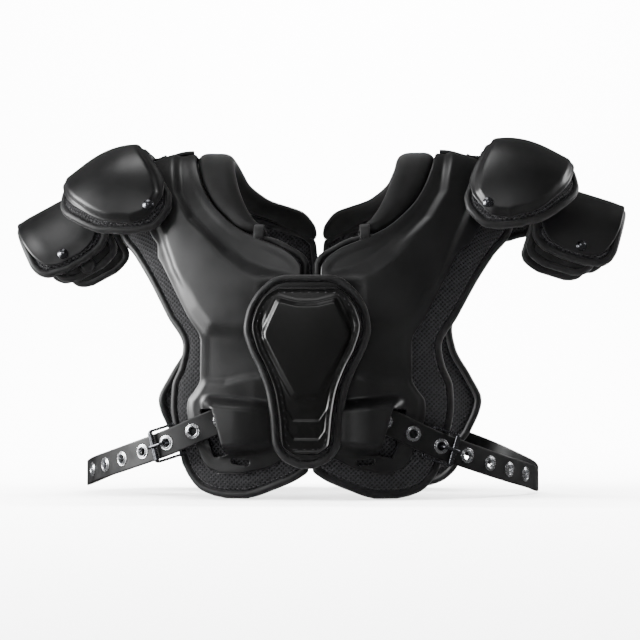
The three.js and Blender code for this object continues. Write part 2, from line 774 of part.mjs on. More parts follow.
const sternumRows = (rows) =>
  rows.map((row) => {
    const z = STERNUM_LOW + row.at * STERNUM_HEIGHT;
    return {
      angle: torso.angleAt(0, z),
      inner: STERNUM_OFFSET - row.half * STERNUM_HALF,
      outer: STERNUM_OFFSET + row.half * STERNUM_HALF,
    };
  });
const STERNUM_NEAR = SHELL_FAR + LAYER_GAP;
function sternumPad() {
  const far = STERNUM_NEAR + STERNUM_THICK;
  return sheet(torso, sternumRows(STERNUM_ROWS), { near: STERNUM_NEAR, far, rim: 5, round: 3 });
}
function sternumCover() {
  const near = STERNUM_NEAR + STERNUM_THICK + FIT_GAP;
  const far = near + STERNUM_COVER_THICK;
  return sheet(torso, sternumRows(COVER_ROWS), { near, far, rim: 6, round: 1.5 });
}
function lace(back) {
  const half = SHELL_INNER - FIT_GAP;
  const rows = LACE_LEVELS.map((share) => ({
    angle: torso.angleAt(0, mix(LACE_LOW, LACE_HIGH, share), back),
    inner: -half,
    outer: half,
  }));
  return sheet(torso, rows, { near: FIT_GAP, far: FIT_GAP + LACE_THICK, columns: 3 });
}

// Belts

// Chosen points of a belt's middle line, from inside the housing round under the arm to the back.
const BELT_ROUTE = [
  { x: 66, y: -CHEST_DEPTH - 3.5, z: 78 },
  { x: 84, y: -CHEST_DEPTH - 0.5, z: 73 },
  { x: 104, y: -CHEST_DEPTH + 4, z: 65.5 },
  { x: 124, y: -CHEST_DEPTH + 10, z: 57 },
  { x: 146, y: -CHEST_DEPTH + 20.5, z: 48.5 },
  { x: 170, y: -CHEST_DEPTH + 39, z: 39.5 },
  { x: 192, y: -CHEST_DEPTH + 63, z: 31.5 },
  { x: 212, y: -CHEST_DEPTH + 93, z: 24.5 },
  { x: 224, y: -5, z: 19 },
  { x: 222, y: BACK_DEPTH - 86, z: 20.5 },
  { x: 207, y: BACK_DEPTH - 51, z: 28 },
  { x: 184, y: BACK_DEPTH - 26, z: 38 },
  { x: 158, y: BACK_DEPTH - 17.6, z: 48 },
  { x: 132, y: BACK_DEPTH - 13.1, z: 57 },
  { x: 108, y: BACK_DEPTH - 9.4, z: 63 },
];
const BELT_TURN = 9; // number of the point after the one farthest out
const BACK_DROP = 0.4; // of a belt's drop that its back end takes
const BELT_STEPS = 20;
const ARC_DIVISIONS = 400;
const BUCKLE_AT = 0.168; // place of the buckle's middle as a share of the belt's length

// The belt's line with a frame at any share of its length: along, across (upwards) and out.
class BeltLine {
  constructor(side) {
    const free = BELT_ROUTE[3].x;
    const points = BELT_ROUTE.map((p, i) => {
      const ahead = i < BELT_TURN;
      const drop = side.beltDrop * THREE.MathUtils.smoothstep(p.x, free / 2, free);
      const reach = side.beltReach * THREE.MathUtils.smoothstep(p.x, free, BELT_ROUTE[BELT_TURN].x);
      return new THREE.Vector3(
        p.x + reach + (ahead ? side.housingShift * (1 - i / BELT_TURN) : 0),
        p.y,
        p.z + drop * (ahead ? 1 : BACK_DROP),
      );
    });
    this.curve = new THREE.CatmullRomCurve3(points);
    this.curve.arcLengthDivisions = ARC_DIVISIONS;
    this.length = this.curve.getLength();
  }
  frame(share) {
    const along = this.curve.getTangentAt(share);
    const across = new THREE.Vector3(0, 0, 1).addScaledVector(along, -along.z).normalize();
    const out = new THREE.Vector3().crossVectors(across, along).negate();
    return { centre: this.curve.getPointAt(share), along, across, out };
  }
  // A place from a share, a height across the belt and a distance out of it.
  place(share, up, away) {
    const { centre, across, out } = this.frame(share);
    return centre.clone().addScaledVector(across, up).addScaledVector(out, away);
  }
  matrix(share, away = 0) {
    const { centre, along, across, out } = this.frame(share);
    return new THREE.Matrix4()
      .makeBasis(across, out, along)
      .setPosition(centre.clone().addScaledVector(out, away));
  }
}

function band(line, from, to, steps, width, thick, away) {
  const grid = (offset) =>
    Array.from({ length: steps + 1 }, (_, i) => {
      const share = mix(from, to, i / steps);
      return [-width / 2, width / 2].map((up) => line.place(share, up, away + offset));
    });
  return solidBetween(grid(-thick / 2), grid(thick / 2));
}

const BARREL = GROMMET_HOLE / 2 + GROMMET_WALL;
function grommetShares(line) {
  return Array.from(
    { length: GROMMETS },
    (_, i) => BUCKLE_AT + ((i - BUCKLED) * GROMMET_PITCH) / line.length,
  );
}
function belt(line) {
  let solid = toSolid(band(line, 0, 1, BELT_STEPS, BELT_WIDTH, BELT_THICK, 0));
  for (const share of grommetShares(line)) {
    const radius = BARREL + FIT_GAP;
    const hole = new THREE.CylinderGeometry(radius, radius, 4 * BELT_THICK, GROMMET_SIDES);
    solid = solid.subtract(toSolid(merged(hole.applyMatrix4(line.matrix(share)))));
  }
  return toGeometry(solid);
}
function grommet(line, share) {
  const face = BELT_THICK / 2 + FIT_GAP;
  const profile = [
    [GROMMET_HOLE / 2, -BELT_THICK / 2],
    [BARREL, -BELT_THICK / 2],
    [BARREL, face],
    [GROMMET_FLANGE / 2, face],
    [GROMMET_HOLE / 2, face + GROMMET_LIP],
    [GROMMET_HOLE / 2, -BELT_THICK / 2],
  ].map(([r, h]) => new THREE.Vector2(r, h));
  const ring = new THREE.LatheGeometry(profile, GROMMET_SIDES).applyMatrix4(line.matrix(share));
  return facingOut(merged(ring));
}

// The buckle's bars stand out of the belt on its far side at the roller and behind it at the heel.
const ROLLER_OUT = BELT_THICK / 2 + GROMMET_LIP + 2 * FIT_GAP + ROLLER / 2;
const HEEL_IN = -(BELT_THICK / 2 + 2 * FIT_GAP + STRAP_THICK + BUCKLE_BAR / 2);
const FRAME_HALF = BELT_WIDTH / 2 + BUCKLE_CLEAR + BUCKLE_BAR / 2;

function buckleEnds(line) {
  const half = BUCKLE_LENGTH / 2 / line.length;
  return { heel: BUCKLE_AT - half, roller: BUCKLE_AT + half };
}
function rod(from, to, diameter, sides) {
  const length = from.distanceTo(to);
  const turn = new THREE.Quaternion().setFromUnitVectors(
    new THREE.Vector3(0, 1, 0),
    to.clone().sub(from).normalize(),
  );
  const matrix = new THREE.Matrix4().compose(
    from.clone().add(to).multiplyScalar(0.5),
    turn,
    new THREE.Vector3(1, 1, 1),
  );
  const bar = new THREE.CylinderGeometry(diameter / 2, diameter / 2, length, sides);
  return toSolid(merged(bar.applyMatrix4(matrix)));
}
function buckleFrame(line) {
  const ends = buckleEnds(line);
  const reach = FRAME_HALF + BUCKLE_BAR / 2;
  const past = BUCKLE_BAR / 3 / line.length;
  const across = (share, away, diameter, sides) =>
    rod(line.place(share, -reach, away), line.place(share, reach, away), diameter, sides);
  const beside = (up) =>
    rod(
      line.place(ends.heel - past, up, HEEL_IN),
      line.place(ends.roller + past, up, ROLLER_OUT),
      BUCKLE_BAR,
      BAR_SIDES,
    );
  const heel = across(ends.heel, HEEL_IN, BUCKLE_BAR, BAR_SIDES);
  const roller = across(ends.roller, ROLLER_OUT, ROLLER, ROUND_SIDES);
  return toGeometry(heel.add(roller).add(beside(-FRAME_HALF)).add(beside(FRAME_HALF)));
}
// The strap from the housing to the heel bar, ending in an eye round the bar.
function buckleStrap(line) {
  const ends = buckleEnds(line);
  const behind = -(BELT_THICK / 2 + FIT_GAP + STRAP_THICK / 2);
  const half = BELT_WIDTH / 2 - STRAP_INSET;
  const strap = toSolid(
    band(line, STRAP_START, ends.heel, STRAP_STEPS, 2 * half, STRAP_THICK, behind),
  );
  const centre = (up) => line.place(ends.heel, up, HEEL_IN);
  const eyeWidth = BUCKLE_BAR + 2 * (FIT_GAP + STRAP_THICK);
  const eye = rod(centre(-half), centre(half), eyeWidth, ROUND_SIDES);
  const past = half + BUCKLE_BAR;
  const bore = rod(centre(-past), centre(past), BUCKLE_BAR + 2 * FIT_GAP, ROUND_SIDES);
  const slotReach = 2 * eyeWidth;
  const slot = new THREE.BoxGeometry(TONGUE + 2, slotReach, slotReach).applyMatrix4(
    line.matrix(ends.heel + STRAP_THICK / line.length, HEEL_IN),
  );
  const joined = strap.add(eye).subtract(bore).subtract(toSolid(merged(slot)));
  const clear = toSolid(
    band(line, 0, 1, BELT_STEPS, BELT_WIDTH + 2, BELT_THICK + 2 * FIT_GAP, 0),
  );
  return toGeometry(joined.subtract(clear));
}
// The tongue: a ring round the heel bar, a shank through the grommet and a tip on the roller.
function buckleTongue(line) {
  const ends = buckleEnds(line);
  const ringOut = BUCKLE_BAR / 2 + FIT_GAP + TONGUE_RING;
  const half = TONGUE / 2;
  const heel = (up) => line.place(ends.heel, up, HEEL_IN);
  const ring = rod(heel(-half), heel(half), 2 * ringOut, ROUND_SIDES);
  const bore = rod(heel(-TONGUE), heel(TONGUE), BUCKLE_BAR + 2 * FIT_GAP, ROUND_SIDES);
  const tipAway = ROLLER_OUT + (ROLLER + TONGUE_THICK) / 2 + FIT_GAP;
  // How far along the belt from the grommet or the bars, and how far out of it
  const stops = [
    [ends.heel, ringOut - 0.6, HEEL_IN],
    [BUCKLE_AT, -2.2, -BELT_THICK / 2],
    [BUCKLE_AT, 0.9, tipAway],
    [ends.roller, 0, tipAway],
    [ends.roller, 4, tipAway - 0.8],
  ].map(([share, past, away]) => line.place(share + past / line.length, 0, away));
  let solid = ring.subtract(bore);
  stops.slice(1).forEach((stop, i) => {
    solid = solid.add(rod(stops[i], stop, TONGUE_THICK, BAR_SIDES));
  });
  return toGeometry(solid);
}

// Assembly

const pad = new THREE.Group();
root.add(pad);
for (const side of SIDES) {
  const half = new THREE.Group();
  half.scale.x = side.mirror;
  pad.add(half);
  const named = (part) => part + "_" + side.name;
  add(half, named("body_pad"), bodyPad(), meshCloth);
  add(half, named("arch_shell"), archShell(side), moulded);
  add(half, named("collar"), collar(), neoprene);
  add(half, named("cap_strap"), capStrap(side), webbing);
  add(half, named("flap_strap"), flapStrap(side), webbing);
  add(half, named("lanyard_tab"), lanyardTab(), webbing);
  add(half, named("lanyard_cord"), lanyardCord(side), webbing);

  const capGroup = new THREE.Group();
  capGroup.position.set(CAP_PIVOT.x, 0, CAP_PIVOT.z);
  capGroup.rotation.y = THREE.MathUtils.degToRad(side.capRoll);
  half.add(capGroup);
  add(capGroup, named("cap_pad"), capPad(), meshCloth);
  add(capGroup, named("cap_shell"), capShell(), moulded);

  const flapGroup = new THREE.Group();
  flapGroup.position.set(FLAP_PIVOT.x, 0, FLAP_PIVOT.z);
  flapGroup.rotation.y = THREE.MathUtils.degToRad(side.flapDroop);
  half.add(flapGroup);
  add(flapGroup, named("flap_pad"), flapPad(), meshCloth);
  add(flapGroup, named("flap_shell"), flapShell(), moulded);
  add(flapGroup, named("under_pad"), underPad(), meshCloth);

  for (const back of [false, true]) {
    const end = back ? "back" : "front";
    const capTop = CAP_LAYER_GAP + FIT_GAP + CAP_SHELL_THICK;
    const flapTop = LAYER_GAP + FIT_GAP + FLAP_SHELL_THICK;
    add(capGroup, named("cap_stud_" + end), stud(cap, CAP_STUD, back, capTop), gunmetal);
    add(flapGroup, named("flap_stud_" + end), stud(flap, FLAP_STUD, back, flapTop), gunmetal);
  }

  const line = new BeltLine(side);
  add(half, named("belt"), belt(line), beltHide);
  add(half, named("buckle_strap"), buckleStrap(line), beltHide);
  add(half, named("buckle_frame"), buckleFrame(line), gunmetal);
  add(half, named("buckle_tongue"), buckleTongue(line), gunmetal);
  grommetShares(line).forEach((share, i) => {
    add(half, named("grommet_" + (i + 1)), grommet(line, share), nickel);
  });
}
add(pad, "sternum_pad", sternumPad(), meshCloth);
add(pad, "sternum_cover", sternumCover(), moulded);
add(pad, "front_lace", lace(false), webbing);
add(pad, "back_lace", lace(true), webbing);

const middle = new THREE.Box3().setFromObject(pad, true).getCenter(new THREE.Vector3());
pad.position.set(-middle.x, -middle.y, 0);

export default root;
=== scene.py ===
import math

import bpy
import numpy as np
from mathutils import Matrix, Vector
from mathutils.kdtree import KDTree


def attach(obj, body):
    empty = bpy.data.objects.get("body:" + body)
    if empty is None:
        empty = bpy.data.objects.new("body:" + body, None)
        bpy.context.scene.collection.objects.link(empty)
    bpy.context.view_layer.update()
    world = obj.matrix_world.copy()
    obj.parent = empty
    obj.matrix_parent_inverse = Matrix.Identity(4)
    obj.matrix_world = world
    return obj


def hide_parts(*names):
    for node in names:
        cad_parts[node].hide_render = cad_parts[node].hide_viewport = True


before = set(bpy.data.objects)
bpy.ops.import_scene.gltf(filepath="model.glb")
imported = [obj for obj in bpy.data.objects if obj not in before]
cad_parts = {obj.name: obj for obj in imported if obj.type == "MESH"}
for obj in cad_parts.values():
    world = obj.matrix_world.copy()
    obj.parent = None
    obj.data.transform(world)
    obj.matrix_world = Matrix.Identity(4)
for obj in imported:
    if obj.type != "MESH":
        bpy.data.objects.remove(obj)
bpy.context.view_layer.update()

# American football shoulder pad. Shapes are worked out in millimetres from the middle of the neck
# opening and written to meshes in metres, from the middle of the whole.
# The wearer faces -Y and the wearer's left is +X. Each half is drawn on +X and mirrored for the
# right.
MM = 0.001
MIDDLE = (-3.5524, 18.0407, 0)

# Sizes of the frame that the pieces lie on
ARCH_HEIGHT = 340
ARCH_DROP = 44
ARCH_FLAT = 110
ARCH_REACH = 95
DROP_POWER = 2.3  # how late the fall of arch and cap begins
CHEST_DEPTH = 135
BACK_DEPTH = 118
CHEST_WRAP = 25
BACK_WRAP = 22
WRAP_WIDTH = 130
PAD_THICK = 12
SHELL_THICK = 3
SHELL_NEAR = 1.3
COLLAR_RISE = 5
SHELL_INNER = 9
CAP_PIVOT = (160, 345)
CAP_CREST = 348.5
CAP_BASE = 240
CAP_CREST_X = 186
CAP_REACH = 70
CAP_FALL = 28
CAP_INNER_FALL = 7
CAP_DEPTH = 97
CAP_NARROWING = 14
CAP_PAD_THICK = 8
CAP_SHELL_THICK = 3
CAP_LAYER_GAP = 2.3
PAD_MARGIN = 10
FLAP_PIVOT = (222, 315)
FLAP_HEIGHT = 95
FLAP_DEPTH = 60
FLAP_LENGTH = 94
FLAP_PAD_THICK = 9
UNDER_PAD_THICK = 8
FLAP_MARGIN = 8
FLAP_CROWN_INNER = 10
LAYER_GAP = 0.8
STERNUM_LOW = 29
STERNUM_HEIGHT = 182
STERNUM_HALF = 59
STERNUM_THICK = 12
STERNUM_OFFSET = -3
HOUSING_MOUTH = 80
HOUSING_RISE = 20
LACE_LOW = 70
LACE_HIGH = 185
CAP_SAG = 4.4  # room over a hidden strap
FLAP_SAG = 3.3
SHELL_FAR = SHELL_NEAR + SHELL_THICK
STERNUM_NEAR = SHELL_FAR + LAYER_GAP

# What differs from side to side, as the pad lies in the picture
SIDES = {
    "left": {
        "mirror": 1, "roll": -5, "droop": 17.6, "shell": -5, "housing": -7, "drop": -5, "reach": 0},
    "right": {
        "mirror": -1, "roll": 5, "droop": 28.2, "shell": 5, "housing": 7, "drop": 0, "reach": 8},
}

# Outlines: share of the arch's height, inner edge and outer edge in millimetres
PAD_FRONT = [
    (0.0, 61, 84), (0.006, 53, 94), (0.022, 38, 108), (0.055, 12, 119), (0.08, 2, 124),
    (0.2, 2, 136), (0.26, 2, 139), (0.32, 2, 138), (0.38, 2, 130), (0.43, 2, 127),
    (0.52, 2, 143), (0.66, 2, 166), (0.69, 6, 171), (0.72, 21, 176), (0.745, 38, 180),
    (0.762, 70, 183), (0.8, 86, 190), (0.85, 101, 197), (0.91, 111.5, 202), (0.97, 118, 204),
]
PAD_BACK = [
    (0.0, 82, 106), (0.008, 68, 120), (0.03, 42, 136), (0.08, 2, 149), (0.13, 2, 151),
    (0.18, 2, 161), (0.29, 2, 173), (0.36, 2, 162), (0.44, 2, 146), (0.5, 2, 142),
    (0.56, 2, 149), (0.68, 2, 168), (0.77, 4, 181), (0.8, 14, 186), (0.83, 44, 190),
    (0.86, 74, 194), (0.9, 99, 198), (0.95, 114, 202),
]
PAD_TOP = (122, 205)
SHELL_FRONT = [
    (0.077, 56, 85), (0.085, 42, 92), (0.105, 28, 98), (0.13, 12, 102), (0.15, 9, 105),
    (0.205, 9, 111), (0.25, 9, 114), (0.275, 9, 113), (0.305, 9, 106), (0.335, 9, 101),
    (0.44, 9, 101), (0.51, 9, 114), (0.645, 9, 137), (0.67, 13, 141), (0.7, 25, 146),
    (0.735, 52, 152), (0.762, 70, 157), (0.8, 86, 163), (0.85, 101, 173), (0.91, 111.5, 184),
    (0.97, 118, 196),
]
SHELL_BACK = [
    (0.09, 60, 96), (0.1, 40, 110), (0.12, 18, 120), (0.14, 9, 125), (0.2, 9, 134),
    (0.28, 9, 140), (0.36, 9, 134), (0.44, 9, 122), (0.5, 9, 120), (0.56, 9, 126),
    (0.68, 9, 146), (0.765, 10, 160), (0.8, 22, 166), (0.83, 45, 170), (0.86, 75, 175),
    (0.9, 99, 182), (0.95, 114, 191),
]
SHELL_TOP = (122, 200)
COLLAR_FRONT = [
    (0.757, 45, 58), (0.762, 45.5, 69), (0.8, 58, 85), (0.85, 68, 100), (0.91, 75.5, 110.5),
    (0.97, 80.5, 117),
]
COLLAR_BACK = [
    (0.78, 5, 15), (0.795, 3, 27), (0.815, 4, 38), (0.835, 8, 50), (0.86, 16, 73), (0.9, 54, 98),
    (0.95, 74, 113),
]
COLLAR_TOP = (83, 121)
CAP_ROWS = [
    (0.255, 18, 32), (0.29, 10, 46), (0.345, 4, 58), (0.45, -3, 71), (0.56, -8, 81),
    (0.68, -9, 88), (0.8, -3, 92), (0.92, 8, 95),
]
CAP_TOP = (14, 96)
FLAP_ROWS = [
    (0.35, 46, 66), (0.375, 36, 75), (0.42, 27, 82), (0.5, 20, 87), (0.62, 14, 91),
    (0.8, 11, 93.5),
]
UNDER_ROWS = [
    (0.13, 34, 60), (0.16, 24, 69), (0.22, 14, 76), (0.32, 10, 80), (0.5, 10, 84),
    (0.75, 10, 86),
]
UNDER_TOP = (10, 86)
STERNUM_ROWS = [
    (0.0, 0.1), (0.012, 0.2), (0.05, 0.39), (0.13, 0.53), (0.27, 0.57), (0.39, 0.63),
    (0.51, 0.76), (0.62, 0.92), (0.72, 1.0), (0.8, 0.965), (0.895, 0.83), (0.955, 0.66),
    (0.985, 0.53), (1.0, 0.36),
]
COVER_ROWS = [
    (0.075, 0.2), (0.12, 0.36), (0.27, 0.41), (0.39, 0.47), (0.51, 0.6), (0.62, 0.76),
    (0.73, 0.84), (0.8, 0.79), (0.88, 0.65), (0.925, 0.45),
]


# Curves and distances

def smooth_table(stations, values, at):
    """Values between a table's rows without overshoot (monotone cubic)."""
    x, y = np.asarray(stations, float), np.asarray(values, float)
    h, slope = np.diff(x), np.diff(y) / np.diff(x)
    m = np.zeros(len(x))
    same = slope[:-1] * slope[1:] > 0
    w1, w2 = 2 * h[1:] + h[:-1], h[1:] + 2 * h[:-1]
    safe = np.where(same, slope[:-1] * slope[1:], 1)
    m[1:-1] = np.where(same, (w1 + w2) * safe / (w1 * slope[1:] + w2 * slope[:-1] + 1e-12), 0)
    m[0], m[-1] = slope[0], slope[-1]
    i = np.clip(np.searchsorted(x, at) - 1, 0, len(h) - 1)
    t = (at - x[i]) / h[i]
    return (
        y[i] * (1 + 2 * t) * (1 - t) ** 2 + h[i] * m[i] * t * (1 - t) ** 2
        + y[i + 1] * t * t * (3 - 2 * t) + h[i] * m[i + 1] * t * t * (t - 1)
    )


def smoothstep(value, low, high):
    t = np.clip((value - low) / (high - low), 0, 1)
    return t * t * (3 - 2 * t)


def rounded(edge, radius):
    """A quarter round from 0 at the edge to 1 at the radius."""
    return np.sqrt(np.clip(1 - (1 - np.minimum(edge / radius, 1)) ** 2, 0, 1))


def cell_mean(field):
    return (field[:-1, :-1] + field[1:, :-1] + field[:-1, 1:] + field[1:, 1:]) / 4


def inside_distance(x, z, corners):
    """Distance to a polygon in the front view, positive inside it."""
    p = np.stack([x, z], -1)
    far = np.full(x.shape, 1e9)
    inside = np.zeros(x.shape, bool)
    for a, b in zip(corners, corners[1:] + corners[:1]):
        a, b = np.array(a, float), np.array(b, float)
        along = b - a
        t = np.clip(((p - a) @ along) / max(along @ along, 1e-9), 0, 1)
        far = np.minimum(far, np.linalg.norm(p - a - t[..., None] * along, axis=-1))
        crosses = (a[1] > p[..., 1]) != (b[1] > p[..., 1])
        level = a[0] + (p[..., 1] - a[1]) * along[0] / (along[1] if along[1] else 1e-9)
        inside ^= crosses & (p[..., 0] < level)
    return np.where(inside, far, -far)


# Saddles: arches over the shoulder whose height and depth change with x

class Saddle:
    def __init__(self, height, front, back, base=0.0, rise=2.6, spread=2.4, middle=90):
        self.height, self.front, self.back = height, front, back
        self.base, self.rise, self.spread = base, rise, spread
        self.angles = np.linspace(0, 180, 3601)
        line = self.point(np.full_like(self.angles, middle), self.angles)
        steps = np.linalg.norm(np.diff(line, axis=0), axis=1)
        self.lengths = np.concatenate([[0], np.cumsum(steps)])

    def angle(self, share, back=False):
        turn = math.degrees(math.asin(min(1, share ** (self.rise / 2))))
        return 180 - turn if back else turn

    def station(self, angle):
        return np.interp(angle, self.angles, self.lengths)

    def finely(self, low, high, pace, back=False):
        """A stretch between two shares of the height, with the pace of its rows."""
        return self.station(self.angle(low, back)), self.station(self.angle(high, back)), pace

    def angle_at(self, station):
        return np.interp(station, self.lengths, self.angles)

    def point(self, x, angle):
        turn = np.radians(angle)
        across = np.cos(turn)
        depth = np.where(across >= 0, -self.front(x), self.back(x))
        y = depth * np.abs(across) ** (2 / self.spread)
        z = self.base + self.height(x) * np.clip(np.sin(turn), 0, 1) ** (2 / self.rise)
        return np.stack([x, y, z], -1)

    def normal(self, x, angle):
        p = self.point(x, angle)
        front = angle <= 90
        depth = np.where(front, self.front(x), self.back(x))
        ahead = np.where(front, self.front(x + 0.5), self.back(x + 0.5))
        behind = np.where(front, self.front(x - 0.5), self.back(x - 0.5))
        high = self.height(x)
        climb = self.height(x + 0.5) - self.height(x - 0.5)
        y, z = np.abs(p[..., 1]) / depth, np.maximum(0, p[..., 2] - self.base) / high
        n = np.stack([
            -self.spread * y ** self.spread * (ahead - behind) / depth
            - self.rise * z ** self.rise * climb / high,
            np.sign(p[..., 1]) * self.spread * y ** (self.spread - 1) / depth,
            self.rise * z ** (self.rise - 1) / high,
        ], -1)
        return n / np.linalg.norm(n, axis=-1, keepdims=True)

    def lifted(self, x, angle, offset):
        x, angle, offset = (np.asarray(value, float) for value in (x, angle, offset))
        return self.point(x, angle) + self.normal(x, angle) * offset[..., None]

    def angle_for(self, x, z, back=False):
        share = np.clip((z - self.base) / self.height(x), 0, 1)
        turn = np.degrees(np.arcsin(share ** (self.rise / 2)))
        return 180 - turn if back else turn


def torso_height(x):
    return ARCH_HEIGHT - ARCH_DROP * (np.maximum(0, np.abs(x) - ARCH_FLAT) / ARCH_REACH) ** DROP_POWER


def cap_height(x):
    out = x + CAP_PIVOT[0] - CAP_CREST_X
    fall = np.where(
        out > 0,
        CAP_FALL * (np.maximum(out, 0) / CAP_REACH) ** DROP_POWER,
        CAP_INNER_FALL * (out / (CAP_CREST_X - CAP_PIVOT[0])) ** 2,
    )
    return CAP_CREST - CAP_BASE - fall


def cap_depth(x):
    out = np.maximum(0, x + CAP_PIVOT[0] - CAP_CREST_X)
    return CAP_DEPTH - CAP_NARROWING * (out / CAP_REACH) ** 2


TORSO = Saddle(
    torso_height,
    lambda x: CHEST_DEPTH - CHEST_WRAP * (x / WRAP_WIDTH) ** 2,
    lambda x: BACK_DEPTH - BACK_WRAP * (x / WRAP_WIDTH) ** 2,
)
CAP = Saddle(
    cap_height, cap_depth, cap_depth, CAP_BASE - CAP_PIVOT[1], 2.2, 2.2, middle=40)
FLAP = Saddle(
    lambda x: FLAP_HEIGHT + 0 * x, lambda x: FLAP_DEPTH + 0 * x, lambda x: FLAP_DEPTH + 0 * x,
    -FLAP_HEIGHT, 2.2, 2.2, middle=50)


def flip(side):
    return np.array([SIDES[side]["mirror"], 1, 1])


def on_body(side):
    return lambda p: p * flip(side)


def on_pivot(side, pivot, turn):
    """From a cap's or flap's own frame to the body's, on its side."""
    a = math.radians(SIDES[side][turn])

    def place(p):
        x, y, z = p[..., 0], p[..., 1], p[..., 2]
        turned = np.stack([
            pivot[0] + x * math.cos(a) + z * math.sin(a), y,
            pivot[1] - x * math.sin(a) + z * math.cos(a)], -1)
        return turned * flip(side)
    return place


# Meshes

def make_piece(name, verts, faces, finishes, slot, uv=None, which=None):
    """A piece from points in millimetres; which gives each face's place in finishes."""
    mesh = bpy.data.meshes.new(name)
    placed = (np.asarray(verts) + np.array(MIDDLE)) * MM
    mesh.from_pydata(placed.tolist(), [], [list(map(int, f)) for f in faces])
    for finish in finishes:
        mesh.materials.append(finish)
    if which is not None:
        mesh.polygons.foreach_set("material_index", np.asarray(which, np.int32))
    mesh.polygons.foreach_set("use_smooth", np.ones(len(mesh.polygons), bool))
    if uv is not None:
        layer = mesh.uv_layers.new(name="cloth")
        loops = np.empty(len(mesh.loops), np.int32)
        mesh.loops.foreach_get("vertex_index", loops)
        layer.data.foreach_set("uv", (np.asarray(uv)[loops] / 100).astype(np.float32).ravel())
    mesh.validate()
    mesh.update()
    piece = bpy.data.objects.new(name, mesh)
    bpy.context.scene.collection.objects.link(piece)
    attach(piece, "root")
    return piece


def dress(node, verts, faces, finishes, slot, uv=None, which=None):
    """The piece that is shown in place of a node of the frame."""
    piece = make_piece(node + "_visual", verts, faces, finishes, slot, uv, which)
    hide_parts(node)
    return piece


def closed_faces(kept):
    """Faces of the closed solid between two alike grids, and each one's cell; kept says which."""
    ids = np.arange((kept.shape[0] + 1) * (kept.shape[1] + 1)).reshape(kept.shape[0] + 1, -1)
    under = ids.size
    i, j = np.nonzero(kept)
    a, b, c, d = ids[i, j], ids[i + 1, j], ids[i + 1, j + 1], ids[i, j + 1]
    faces = [np.stack([a, b, c, d], 1), np.stack([d, c, b, a], 1) + under]
    cells = [np.stack([i, j])] * 2
    framed = np.pad(kept, 1)
    for beyond, start, end in (
            (framed[:-2, 1:-1], (0, 0), (0, 1)), (framed[2:, 1:-1], (1, 1), (1, 0)),
            (framed[1:-1, :-2], (1, 0), (0, 0)), (framed[1:-1, 2:], (0, 1), (1, 1))):
        i, j = np.nonzero(kept & ~beyond)
        p, q = ids[i + start[0], j + start[1]], ids[i + end[0], j + end[1]]
        faces.append(np.stack([p, q, q + under, p + under], 1))
        cells.append(np.stack([i, j]))
    return np.concatenate(faces), np.concatenate(cells, 1)


